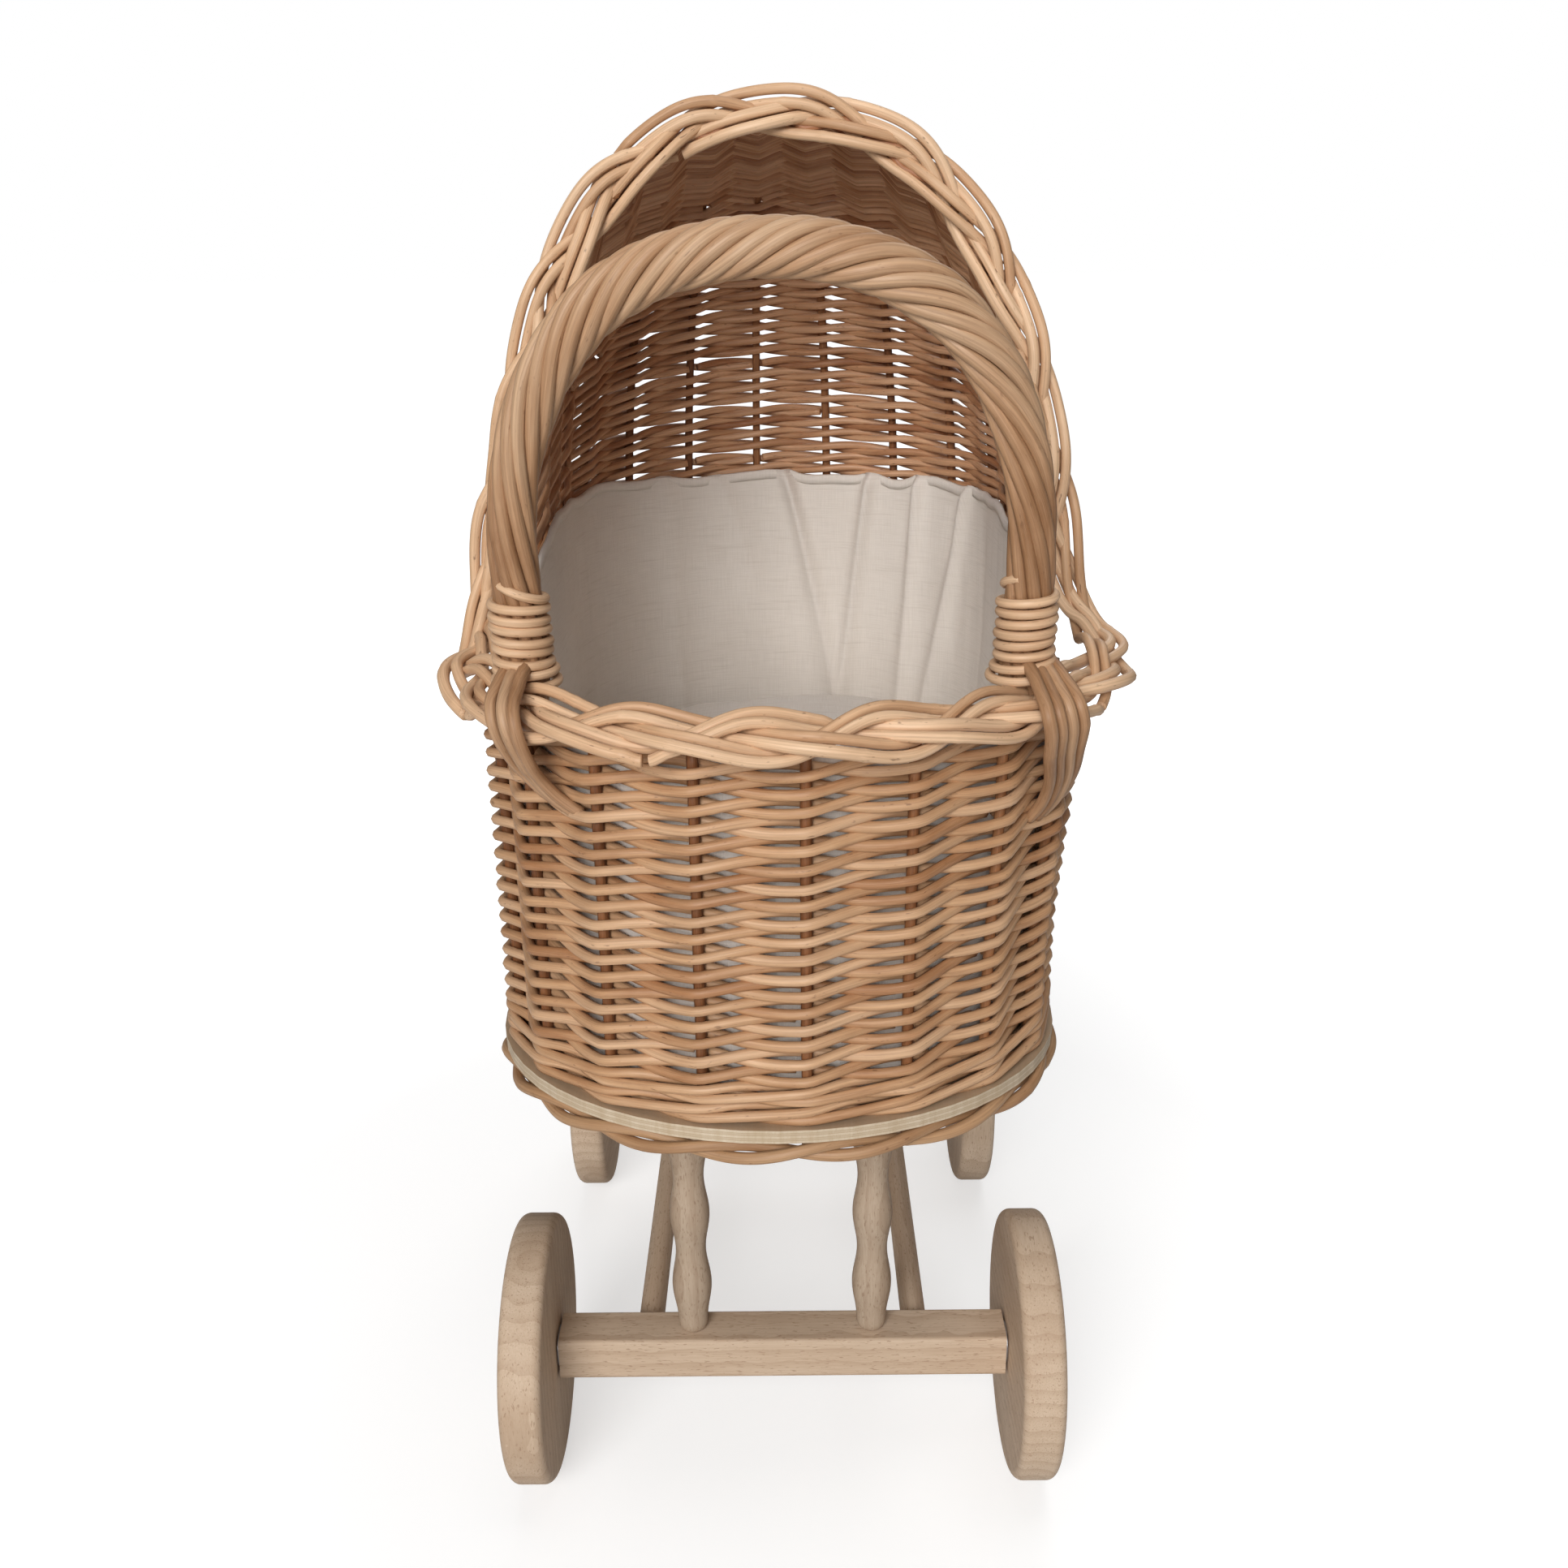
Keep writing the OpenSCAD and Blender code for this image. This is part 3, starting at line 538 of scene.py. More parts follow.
# Pale, middle and deep tone of the rods of each part, and how plainly their nicks show.
WILLOW = {
    "body": ((214, 175, 138), (199, 156, 116), (168, 119, 80), 0.5),
    "rim": ((228, 192, 156), (214, 174, 136), (190, 146, 108), 0.6),
    "foot": ((196, 158, 120), (180, 140, 102), (158, 116, 80), 0.5),
    "hood": ((222, 176, 138), (204, 154, 114), (162, 108, 72), 0.5),
    "handle": ((200, 165, 131), (182, 141, 105), (146, 104, 69), 0.35),
    # The stakes are darker and redder than the weavers, partly their own tone and partly painted
    # shade: they show mostly in the gaps between rows.
    "stake": ((170, 118, 78), (142, 92, 56), (108, 66, 38), 0.5),
}
for part, (*tones, nicks) in WILLOW.items():
    WILLOW[part] = willow("willow_" + part, *(linear(*tone) for tone in tones), nicks)
liner_linen = linen("linen_liner", linear(238, 230, 221), linear(231, 222, 212))
pad_linen = linen("linen_pad", linear(243, 239, 233), linear(237, 232, 225))
plywood_material = plywood()
steel_material = steel()

# ---- chassis ----------------------------------------------------------------

WHEEL_R, WHEEL_W, WHEEL_EDGE, TRACK = 64.0, 20.0, 4.5, 260.0
BORE_R, RECESS_R, RECESS_DEPTH = 4.05, 14.0, 8.5
SPINDLE_X, BULGE_D, NECK_D, SPINDLE_PITCH = 43.5, 19.0, 14.5, 40.0
# The last factor darkens the spindles' beech: painted shade for the shadow of the basket above
# them.
TENON_R, TENON_DEPTH, SHOULDER, SPINDLE_PAINTED_SHADE = 5.0, 11.4, 6.0, 0.87
BEAM_TOP = AXLE_Z + 11.0
SHARP_ANGLE = 40.0


def lathe(name, profile, axis, centre, material, body, node, segments=96):
    """A turned part from (radius, place along axis) points. A profile that ends where it
    starts leaves a bore, and any other is closed at both ends."""
    profile = np.asarray(profile, float)
    angle = 2 * np.pi * np.arange(segments) / segments
    r, h = profile[:, 0][:, None], profile[:, 1][:, None]
    c, s, along = r * np.cos(angle), r * np.sin(angle), np.broadcast_to(h, (len(r), segments))
    if axis == "X":
        points = np.stack([along, c, s], -1)
    else:
        points = np.stack([c, s, along], -1)
    points = points.reshape(-1, 3) + np.asarray(centre)
    loops, sizes = tube_faces(len(profile), segments)
    has_bore = np.allclose(profile[0], profile[-1])
    if has_bore:
        loops, sizes = loops[:-2 * segments], sizes[:-2]
    mesh = fill_mesh(name, points, loops, sizes)
    new_object(name, mesh, material, body, (node,))
    b = bmesh.new()
    b.from_mesh(mesh)
    if has_bore:
        bmesh.ops.remove_doubles(b, verts=b.verts, dist=1e-6)
    bmesh.ops.recalc_face_normals(b, faces=b.faces)
    b.to_mesh(mesh)
    b.free()
    mesh.set_sharp_from_angle(angle=math.radians(SHARP_ANGLE))


def rounded(r, x, edge, start, stop):
    """Points of an edge's round between two angles, about (r, x)."""
    a = np.radians(np.linspace(start, stop, 9))
    return [(r + edge * math.sin(v), x - edge * math.cos(v)) for v in a]


def corner_name(side, end):
    return ("front" if end > 0 else "rear") + ("_right" if side > 0 else "_left")


def wheel(side, end):
    name = corner_name(side, end)
    x0, x1 = TRACK / 2 - WHEEL_W, TRACK / 2
    e = WHEEL_EDGE
    recess_x = x1 - RECESS_DEPTH
    profile = [(BORE_R, x0)]
    profile += rounded(WHEEL_R - e, x0 + e, e, 0, 90)
    profile += rounded(WHEEL_R - e, x1 - e, e, 90, 180)
    profile += [(RECESS_R + 0.6, x1), (RECESS_R, x1 - 0.6), (RECESS_R, recess_x),
                (BORE_R, recess_x), (BORE_R, x0)]
    centre = (0, FRONT_Y if end > 0 else REAR_Y, AXLE_Z)
    ring = (side * 118, centre[1] + side * 16, AXLE_Z - 40)
    wood = beech("beech_wheel_" + name, "Z" if side * end > 0 else "Y", ring, 0.99)
    lathe("wheel_turned_" + name, [(r, side * x) for r, x in profile], "X", centre, wood,
          "wheel_" + name, "wheel_" + name)
    cap = [(0.02, x1 - 2.6), (RECESS_R - 0.1, x1 - 2.6), (RECESS_R - 0.1, x1 - 0.9),
           (RECESS_R - 0.9, x1 - 0.35), (RECESS_R - 4, x1), (0.02, x1 + 0.45)]
    lathe("hub_cap_turned_" + name, [(r, side * x) for r, x in cap], "X", centre, wood,
          "wheel_" + name, "hub_cap_" + name, 48)


def spindle(side, end):
    name = corner_name(side, end)
    middle, swing = (BULGE_D + NECK_D) / 4, (BULGE_D - NECK_D) / 4
    top = BOARD_Z - BEAM_TOP - 0.1
    def turned(z):
        return middle - swing * math.cos(2 * math.pi * (z - SHOULDER) / SPINDLE_PITCH)
    profile = [(TENON_R, -TENON_DEPTH), (TENON_R, 0.1)]
    for a in np.radians(np.arange(0, 91, 9)):
        profile.append((TENON_R + (turned(SHOULDER) - TENON_R) * math.sin(a),
                        SHOULDER - (SHOULDER - 0.1) * math.cos(a)))
    profile += [(turned(z), z) for z in np.arange(7.5, top - 0.8, 1.25)]
    profile.append((turned(top), top))
    centre = (side * SPINDLE_X, FRONT_Y if end > 0 else REAR_Y, BEAM_TOP)
    ring = (centre[0] + side * 22, centre[1] + end * 18, 0)
    # The spindles' wood is darkened as painted shade, for the shadow of the basket above.
    wood = beech("beech_spindle_" + name, "Z", ring, SPINDLE_PAINTED_SHADE)
    lathe("spindle_turned_" + name, profile, "Z", centre, wood, "carriage", "spindle_" + name, 64)


for side in (-1, 1):
    for end in (-1, 1):
        wheel(side, end)
        spindle(side, end)


def finish_cad(names, material):
    """Gives CAD nodes that keep their own shape their final material."""
    for name in names:
        obj = frame["nodes"][name]
        obj.data.materials.clear()
        obj.data.materials.append(material)


finish_cad(["base_board"], plywood_material)
finish_cad(["board_screws", "axle_washers"] + [
    f"axle_bolt_{end}_{side}" for end in ("rear", "front") for side in ("left", "right")],
    steel_material)
for name, fibre, centre in (
        ("rear_axle_beam", "X", (0, REAR_Y - 30, AXLE_Z - 46)),
        ("front_axle_beam", "X", (0, FRONT_Y + 36, AXLE_Z - 60)),
        ("left_stretcher", "Y", (-80, 0, AXLE_Z + 24)),
        ("right_stretcher", "Y", (92, 0, AXLE_Z + 18))):
    finish_cad([name], beech("beech_" + name.replace("_axle", ""), fibre, centre))

# ---- woven wall of the basket -------------------------------------------------

WEAVER_D = 4.6
PER_GAP = 14
PAIR_PITCH, PAIR_ROWS = 7.6, 18
PAIR_REACH, PAIR_RISE = 4.6, 2.2
LEAD = 0.12   # how far ahead of a stake a rod starts to rise, in gaps between stakes
WALE_D, WALE_REACH, WALE_PITCH = 4.3, 4.65, 8.6
FOOT_ROD, FOOT_TWIST, FOOT_TURNS, FOOT_G, FOOT_Z = 5.3, 2.75, 14, 4.6, 224.4
FAR_STAKE = STAKES / 2


def in_and_out(k):
    """1 where a rod passes outside stake number k, -1 inside the next, eased at the stakes."""
    c = np.cos(np.pi * k)
    return 0.15 * c + 0.85 * np.arcsin(c) * 2 / np.pi


def broken(first, last, parity, longest=22):
    """Splits a run of stakes where a rod is out of sight, as new rods are laid in."""
    cuts = [first]
    while last - cuts[-1] > longest:
        step = int(rng.integers(longest // 2, longest))
        cut = math.floor(cuts[-1]) + step
        if (cut - parity) % 2 == 0:
            cut += 1
        if last - cut < 3:
            break
        cuts.append(cut)
    return list(zip(cuts, cuts[1:] + [last]))


def pairing_rows():
    """Rows of two rods that take turns in front of a stake and cross between the stakes."""
    rods = Rods(8)
    for row in range(PAIR_ROWS):
        z = WEAVE_Z + PAIR_PITCH * (row + 0.5)
        seed = 100 + row
        start = FAR_STAKE + 2 * int(rng.integers(0, 3))
        for strand in (0, 1):
            shade = rng.uniform(0.1, 0.9)
            first = start + strand + 1
            for low, high in broken(first, first + STAKES, first + 1):
                k = np.arange(low + 0.04, high - 0.04, 1 / PER_GAP)
                wrapped = np.mod(k, STAKES) / STAKES * 2 * np.pi
                drift = 0.35 * np.sin(wrapped * 3 + seed)
                drift += 0.3 * np.sin(wrapped * 7 + seed * 2.3)
                p = between_stakes(k, z + drift)
                turn = k + strand
                out = outward(stake_s(k))
                p += out * (PAIR_REACH * in_and_out(turn))[:, None]
                p[:, 2] += PAIR_RISE * np.sin(np.pi * (turn - LEAD))
                d = WEAVER_D * rng.uniform(0.93, 1.06)
                rods.add(p, d, (0, 0, 1), np.clip(shade + rng.normal(0, 0.16), 0, 1),
                         rng.uniform(-0.12, 0.12))
    rods.build("willow_pairing", WILLOW["body"], "willow", ("basket_weave",))


def waling_rows():
    """Two rounds of three rods, each in front of two stakes and behind the third."""
    rods = Rods(8)
    for level in (0, 1):
        z = WALE_Z + WALE_PITCH / 2 + WALE_PITCH * level
        for strand in range(3):
            start = FAR_STAKE + strand * 0.33
            k = np.arange(start, start + STAKES - 0.06, 1 / PER_GAP)
            turn = np.mod(k + strand + level, 3)
            inside = np.interp(turn, [0, 1, 2, 3], [1, 1, -1, 1])
            eased = np.interp(turn, [0, 0.5, 1, 1.5, 2, 2.5, 3], [1, 1.06, 1, 0, -1, 0, 1])
            rise = np.interp(turn, [0, 1.35, 2.0, 2.65, 3], [-2.1, 3.3, 0, -3.3, -2.1])
            p = between_stakes(k, z)
            p += outward(stake_s(k)) * (WALE_REACH * (0.4 * inside + 0.6 * eased))[:, None]
            p[:, 2] += rise
            rods.add(smoothed(p), WALE_D * rng.uniform(0.95, 1.04), (0, 0, 1),
                     rng.uniform(0.15, 0.8))
    rods.build("willow_waling", WILLOW["body"], "willow", ("basket_waling",))


def smoothed(path, rounds=2):
    """Takes the corners off a path without moving its ends."""
    p = path.copy()
    for _ in range(rounds):
        p[1:-1] = 0.25 * p[:-2] + 0.5 * p[1:-1] + 0.25 * p[2:]
    return p


def foot_border_rods():
    """Two rods twisted round each other under the board's edge."""
    rods = Rods(10)
    for strand in (0, 1):
        s = np.linspace(PERIMETER * 0.5 + 0.4, PERIMETER * 1.5 - 0.4, 900)
        a = 2 * np.pi * FOOT_TURNS * s / PERIMETER + np.pi * strand
        p = plan(s, FOOT_G + FOOT_TWIST * np.cos(a), FOOT_Z + FOOT_TWIST * np.sin(a))
        rods.add(p, FOOT_ROD, (0, 0, 1), 0.35 + 0.3 * strand)
    rods.build("foot_border_rods", WILLOW["foot"], "willow", ("foot_border",))


def stake_rods():
    rods = Rods(8)
    for k in range(STAKES):
        z = np.linspace(STAKE_FOOT + 0.5, WEAVE_TOP + 3, 40)
        rods.add(plan(stake_s(k), 0.0, z), STAKE_D * rng.uniform(0.95, 1.03), (0, 1, 0))
    rods.build("basket_stake_rods", WILLOW["stake"], "willow_dark", ("basket_stakes",))


pairing_rows()
waling_rows()
foot_border_rods()
stake_rods()

# ---- hood ---------------------------------------------------------------------

# Height of a row, and the closest that two rows come before every second one stops.
HOOD_ROW, HOOD_CLOSEST = 6.9, 4.4
HOOD_ROD, HOOD_ROD_REACH, MOST_HALVINGS = 4.25, 4.3, 5
HOOD_FIRST = (PERIMETER / 2 - HOOD_REACH * HOOD_U - STAKE_PHASE) / GAP
HOOD_LAST = (PERIMETER / 2 + HOOD_REACH * HOOD_U - STAKE_PHASE) / GAP


def hood_heights():
    """Heights t of the hood's rows, evenly spaced along its middle."""
    t = np.linspace(0, 1, 400)
    along = lengths(hood(np.full(400, FAR_STAKE - 0.27), t))
    rows = int(along[-1] / HOOD_ROW)
    at = (np.arange(rows) + 0.5) * along[-1] / rows
    return np.interp(at, along, t)


def times_halved(i):
    """How often a row number can be halved: rows with a low count stop first."""
    count = 0
    while i and i % 2 == 0 and count < MOST_HALVINGS:
        i, count = i // 2, count + 1
    return MOST_HALVINGS if i == 0 else count


def hood_rows():
    """Rows of pairing that follow the hood round, and stop one by one where it narrows."""
    rods = Rods(8)
    heights = hood_heights()
    steps = np.gradient(heights)
    for row, (t, step) in enumerate(zip(heights, steps)):
        k = np.arange(HOOD_FIRST, HOOD_LAST, 1 / PER_GAP)
        p, out, up = hood_frame(k, t)
        lift = hood(k, t + step / 2) - hood(k, t - step / 2)
        spacing = np.linalg.norm(lift, axis=1)
        level = times_halved(row)
        kept = spacing * 2.0 ** level >= HOOD_CLOSEST
        if not kept.any():
            continue
        low, high = k[kept][0], k[kept][-1]
        through_row = level == MOST_HALVINGS
        if not through_row:
            low, high = math.ceil(low), math.floor(high)
        halvings = np.clip(np.ceil(np.log2(HOOD_CLOSEST / spacing)), 0, MOST_HALVINGS)
        room = spacing * 2.0 ** halvings
        rise = smoothed(np.clip(0.27 * room, 1.35, 2.1)[:, None], 12)[:, 0]
        drift = 0.35 * np.sin(k * 0.7 + row * 1.7) + 0.3 * np.sin(k * 1.7 + row * 3.1)
        for strand in (0, 1):
            first = low + (0 if (low + strand) % 2 == 0 or through_row else 1)
            last = high - (0 if (high + strand) % 2 == 0 or through_row else 1)
            # Rows towards the top of the arch get a deeper tone: painted shade for the dim
            # ceiling inside the hood.
            shade = rng.uniform(0.0, 0.7) + 0.5 * smooth((t - 0.6) / 0.3)
            for a, b in broken(first, last, strand, 12):
                on = (k >= a + 0.03) & (k <= b - 0.03)
                if on.sum() < 8:
                    continue
                turn = k[on] + strand
                path = p[on] + out[on] * (HOOD_ROD_REACH * in_and_out(turn))[:, None]
                path += up[on] * (rise[on] * np.sin(np.pi * (turn - LEAD)) + drift[on])[:, None]
                rods.add(path, HOOD_ROD * rng.uniform(0.92, 1.06), out[on],
                         np.clip(shade + rng.normal(0, 0.2), 0, 1), rng.uniform(-0.12, 0.12))
    rods.build("hood_rows", WILLOW["hood"], "willow_dark", ("hood_weave",))


def hood_stake_rods():
    rods = Rods(8)
    for k in range(math.ceil(HOOD_FIRST + 0.2), math.floor(HOOD_LAST) + 1):
        t = np.linspace(0.0, 1.0, 90)
        path = hood(np.full(90, float(k)), t)
        rods.add(evenly(path, 90), STAKE_D * rng.uniform(0.92, 1.0), (1, 0.02, 0))
    rods.build("hood_stake_rods", WILLOW["stake"], "willow_dark", ("hood_stakes",))


hood_rows()
hood_stake_rods()

# ---- plaited rim and hood edge --------------------------------------------------

PLAIT_PITCH, PLAIT_ROD, PLAIT_DEPTH = 138.0, 4.9, 3.2
RIM_SWING, HOOD_SWING, HOOD_GROW = 8.0, 5.6, 0.2
RIM_END = END_ARC / 2 + SIDE_HALF + HOOD_Y - 6
RIM_TILT, ARCH_END, CORNER = 25.0, 78.0, 22.0
BORDER_POINTS = 2400
# The rods start and end only in the hood and at the handle end, clear of the corners.
LAID_IN_ABOVE, LAID_IN_BEFORE, HOOD_PART_ABOVE = 480, -110, 440
TUCK, TUCK_POINTS = 2.2, 16   # how deep a rod's end is pushed in, and over how many points


def border_line():
    """Middle line of the border and its outward direction, from the left hood foot round the
    handle end to the right hood foot, and back over the arch."""
    s = np.linspace(-RIM_END + CORNER, RIM_END - CORNER, 500)
    spread = rim_spread(s, RIM_END)
    flare = np.where(s < 0, RIM_FLARE_LEFT, RIM_FLARE)
    rim = plan(s, RIM_OUT + flare * spread, RIM_Z + 4 * spread)
    tilt = np.radians(RIM_TILT)
    rim_side = np.cos(tilt) * outward(s) - np.array([0, 0, np.sin(tilt)])
    a = np.radians(np.linspace(ARCH_END, -ARCH_END, 700))
    over = arch(a, HOOD_GROW)
    over_side = unit(arch(a, 6.0) - arch(a, 2.0))
    def corner(p, q, a_side, b_side, p_way, q_way):
        t = np.linspace(0, 1, 40)[1:-1, None]
        reach = 0.55 * np.linalg.norm(q - p)
        c1, c2 = p + p_way * reach, q - q_way * reach
        return bezier(t, p, c1, c2, q), (1 - t) * a_side + t * b_side
    right, right_side = corner(rim[-1], over[0], rim_side[-1], over_side[0],
                               unit(rim[-1] - rim[-2]), unit(over[1] - over[0]))
    left, left_side = corner(over[-1], rim[0], over_side[-1], rim_side[0],
                             unit(over[-1] - over[-2]), unit(rim[1] - rim[0]))
    line = np.vstack([rim, right, over, left, rim[:1]])
    side = np.vstack([rim_side, right_side, over_side, left_side, rim_side[:1]])
    both = evenly(np.hstack([line, side]), BORDER_POINTS)
    along = lengths(both[:, :3])
    at = np.linspace(0, along[-1], BORDER_POINTS + 1)[:-1]
    both = np.stack([np.interp(at, along, both[:, i]) for i in range(6)], -1)
    return both[:, :3], unit(both[:, 3:]), along[-1]


def plait():
    """Three strands of two rods each, plaited flat, in lengths whose ends are tucked under."""
    line, side, total = border_line()
    n = len(line)
    along = unit(np.roll(line, -1, 0) - np.roll(line, 1, 0))
    side = unit(side - along * (side * along).sum(1, keepdims=True))
    up = np.cross(side, along)
    repeats = round(total / PLAIT_PITCH)
    rim, top = Rods(10), Rods(10)
    x = np.arange(n) / n
    swing = RIM_SWING + (HOOD_SWING - RIM_SWING) * smooth((line[:, 2] - 420) / 60)
    # The plait is drawn tighter where it turns up from the rim to the hood.
    swing *= 1 - 0.6 * hill(line[:, 1] - MID_Y - HOOD_Y, 24) * (
        1 - smooth((line[:, 2] - 425) / 40))
    spare = 0.8 - 0.7 * smooth((line[:, 1] - MID_Y + 110) / 30)
    for strand in range(3):
        a = 2 * np.pi * (repeats * x + strand / 3)
        wide = 1 + 0.06 * np.sin(2 * np.pi * 5 * x + strand)
        flat = 1.4 * np.sin(a) - 0.4 * np.sin(a) ** 3
        path = (line + side * (swing * wide * flat)[:, None]
                + up * (PLAIT_DEPTH * np.sin(2 * a))[:, None])
        ahead = unit(np.roll(path, -3, 0) - np.roll(path, 3, 0))
        across = unit(np.cross(up, ahead))
        # Rods are laid in where their strand runs deepest under the others.
        depth = np.sin(2 * a)
        deep = [i for i in range(n) if depth[i] < depth[i - 1]
                and depth[i] <= depth[(i + 1) % n] and depth[i] < 0
                and (line[i, 2] > LAID_IN_ABOVE or line[i, 1] < LAID_IN_BEFORE)]
        for rod in (-1, 1):
            apart = PLAIT_ROD / 2 + 0.2 + spare * np.sin(a) ** 2
            apart = apart * (1 + 0.12 * np.sin(2 * np.pi * (3 * x + rod * 0.2)))
            own = path + across * (rod * apart)[:, None]
            own += up * (rod * 0.5 * np.sin(2 * np.pi * 4 * x + strand))[:, None]
            cuts = deep[(strand + (rod > 0)) % 3::4]
            for i, j in zip(cuts, cuts[1:] + [cuts[0] + n]):
                idx = np.arange(i + 3, j - 2) % n
                piece = own[idx]
                from_end = np.minimum(np.arange(len(idx)), np.arange(len(idx))[::-1])
                piece = piece - up[idx] * (TUCK * (1 - smooth(from_end / TUCK_POINTS)))[:, None]
                rods = top if piece[:, 2].mean() > HOOD_PART_ABOVE else rim
                rods.add(piece, PLAIT_ROD * rng.uniform(0.9, 1.05), up[idx],
                         rng.uniform(0.05, 0.95), rng.uniform(-0.15, 0.15))
    rim.build("rim_plait", WILLOW["rim"], "willow", ("rim_border",))
    top.build("hood_edge_plait", WILLOW["rim"], "willow", ("hood_border",))


plait()

# ---- handle ---------------------------------------------------------------------

STRAND_D, STRANDS, CORE_D = 5.3, 9, 7.2
LAY_R, LAY_R_FOOT = 7.75, 6.75
LAY_TOP, LAY_LEG = 84, 250   # length of one turn of the twist, at the top and in the legs
WRAPS, WRAP_PITCH, WRAP_D, TAIL_D = 8.6, 4.35, 3.7, 4.9


def handle_rods():
    """The core, and the rods laid round it: a steep twist in the legs, a flat one on top."""
    line = handle_line(500)
    along = lengths(line)
    from_top = along - along[-1] / 2
    lean = unit(np.array([0, -1, -HANDLE_LEAN]))
    tangent = unit(np.gradient(line, axis=0))
    up = unit(np.cross(lean, tangent))
    rate = 1 / LAY_LEG + (1 / LAY_TOP - 1 / LAY_LEG) * hill(from_top, 105)
    turns = np.concatenate([[0], np.cumsum((rate[1:] + rate[:-1]) / 2 * np.diff(along))])
    turns -= turns[len(turns) // 2]
    below = smooth((412 - line[:, 2]) / 26)
    centre = line.copy()
    centre[:, 1] -= 5.5 * below
    core = Rods(8)
    core.add(centre[3:-3], CORE_D, (0, 1, 0.2), 0.6)
    core.build("handle_core_rod", WILLOW["stake"], "willow_handle", ("handle_core",))
    rods = Rods(12)
    for k in range(STRANDS):
        a = 2 * np.pi * (k / STRANDS - turns) + 0.06 * np.sin(from_top / 31 + k * 2.1)
        thin = smooth((np.abs(from_top) - 60) / 90)
        r = (LAY_R + (LAY_R_FOOT - LAY_R) * thin) * (1 - 0.42 * below)
        r += 0.25 * np.sin(from_top / 43 + k)
        path = centre + r[:, None] * (np.cos(a)[:, None] * up + np.sin(a)[:, None] * lean)
        keep = (path[:, 2] > 384 + 3 * (k % 3))
        shade = rng.uniform(0.0, 0.45) + 0.6 * smooth((np.abs(from_top) - 95) / 75)
        rods.add(path[keep], STRAND_D * rng.uniform(0.95, 1.05), (0, 1, 0.2), shade[keep], 0.06,
                 knots=False)
    rods.build("handle_rods", WILLOW["handle"], "willow_handle", ("handle_strands",))


def binding(side, name):
    """Wraps round a foot of the handle. The lower two are slack, and the end stands up."""
    t = np.linspace(0, 1, 420)
    a = 2 * np.pi * WRAPS * t * side + (0.3 if side > 0 else 1.2)
    z = RIM_Z + 5.5 + WRAP_PITCH * WRAPS * t + 0.35 * np.sin(a * 0.5 + side)
    z += 1.3 * np.sin(a + 0.6) * (1 - smooth(t * 2.2)) + 5.0 * smooth((t - 0.955) / 0.045)
    r = LAY_R_FOOT + STRAND_D / 2 + 1.1 + 2.2 * (1 - smooth(t * 3.2)) + 0.25 * np.sin(a * 0.7)
    r -= 3.2 * smooth((t - 0.965) / 0.035)
    x = side * HANDLE_X + r * np.cos(a)
    y = MID_Y + HANDLE_Y - HANDLE_LEAN * (z - RIM_Z) + r * np.sin(a)
    rods = Rods(10)
    rods.add(np.stack([x, y, z], -1), WRAP_D, (0, 0, 1), 0.3, knots=False)
    rods.build("binding_" + name, WILLOW["rim"], "willow_handle", ("handle_binding_" + name,))


def tails(name, route, spread, count):
    """Ends of the handle's rods, led side by side over the rim and tucked into the wall.

    The route's points are places along the wall, outside it, and in height."""
    line = through(route, 90)
    rods = Rods(10)
    for i in range(count):
        off = (i - (count - 1) / 2) * spread * (1 + 0.1 * np.sin(np.linspace(0, 3, 90) + i))
        s, z = line[:, 0] + off, line[:, 2] + 0.5 * abs(i - 1)
        bulge = 0.5 * np.sin(np.linspace(0, 5, 90) + i * 1.7)
        rods.add(plan(s, line[:, 1] + bulge, z), TAIL_D * rng.uniform(0.92, 1.04), (0, 0.1, 0.02),
                 rng.uniform(0.2, 0.9), 0.15)
    rods.build("tails_" + name, WILLOW["handle"], "willow_handle", ("handle_tails_" + name,))


handle_rods()
binding(-1, "left")
binding(1, "right")
tails("left", [(-110, -2, 419), (-97, 13, 413), (-88, 24, 407), (-85, 25.5, 398), (-86, 20, 387),
               (-88, 12, 377), (-86, 6, 369), (-80, 0.5, 362)], 4.9, 3)
tails("right", [(110, -2, 417), (98, 13, 411), (91, 24, 405), (92, 25.5, 396), (98, 20, 383),
                (109, 12, 368), (115, 6, 357), (117, 0.5, 349)], 4.6, 4)

# ---- linen ----------------------------------------------------------------------

LINER_G = -8.1
LINER_LOW = bottom_of("liner") + 0.3
LINER_NEAR, LINER_FAR, HEM = 391.0, 443.0, 5.0


def liner_top(y):
    """Height of the liner's edge: it climbs from the handle end and is level in the hood."""
    reach = END_RY + SIDE_HALF
    part = np.clip((y - (MID_Y - reach)) / (20 - (MID_Y - reach)), 0, 1)
    return LINER_NEAR + (LINER_FAR - LINER_NEAR) * part


# Pleats of the far wall, in millimetres.
PLEATS = [
    # x at hem, x at floor, depth, width at hem, width at floor
    (4.0, 43.0, 8.5, 3.6, 9.0),
    (62.0, 42.0, 8.5, 4.2, 6.0),
    (90.0, 80.0, 7.5, 4.0, 8.0),
    (114.0, 94.0, 6.0, 4.5, 7.0),
    (-40.0, 8.0, 3.2, 7.0, 13.0),
    (-72.0, -65.0, 2.6, 14.0, 5.0),
]


def far_s(x):
    """Distance along the wall of a point of the far end, from its place across."""
    a = math.acos(max(-0.999, min(0.999, x / HALF_W)))
    return END_ARC / 2 + 2 * SIDE_HALF + a / math.pi * END_ARC


def cloth_mesh(name, rings, cloth, nodes):
    """A sheet from closed rings of points, and each point's place on the flat cloth."""
    loops = grid_faces(len(rings), len(rings[0]), True)
    mesh = fill_mesh(name, np.vstack(rings), loops, np.full(len(loops) // 4, 4))
    store(mesh, "cloth", np.vstack(cloth) * MM)
    return new_object(name, mesh, liner_linen, "carriage", nodes)


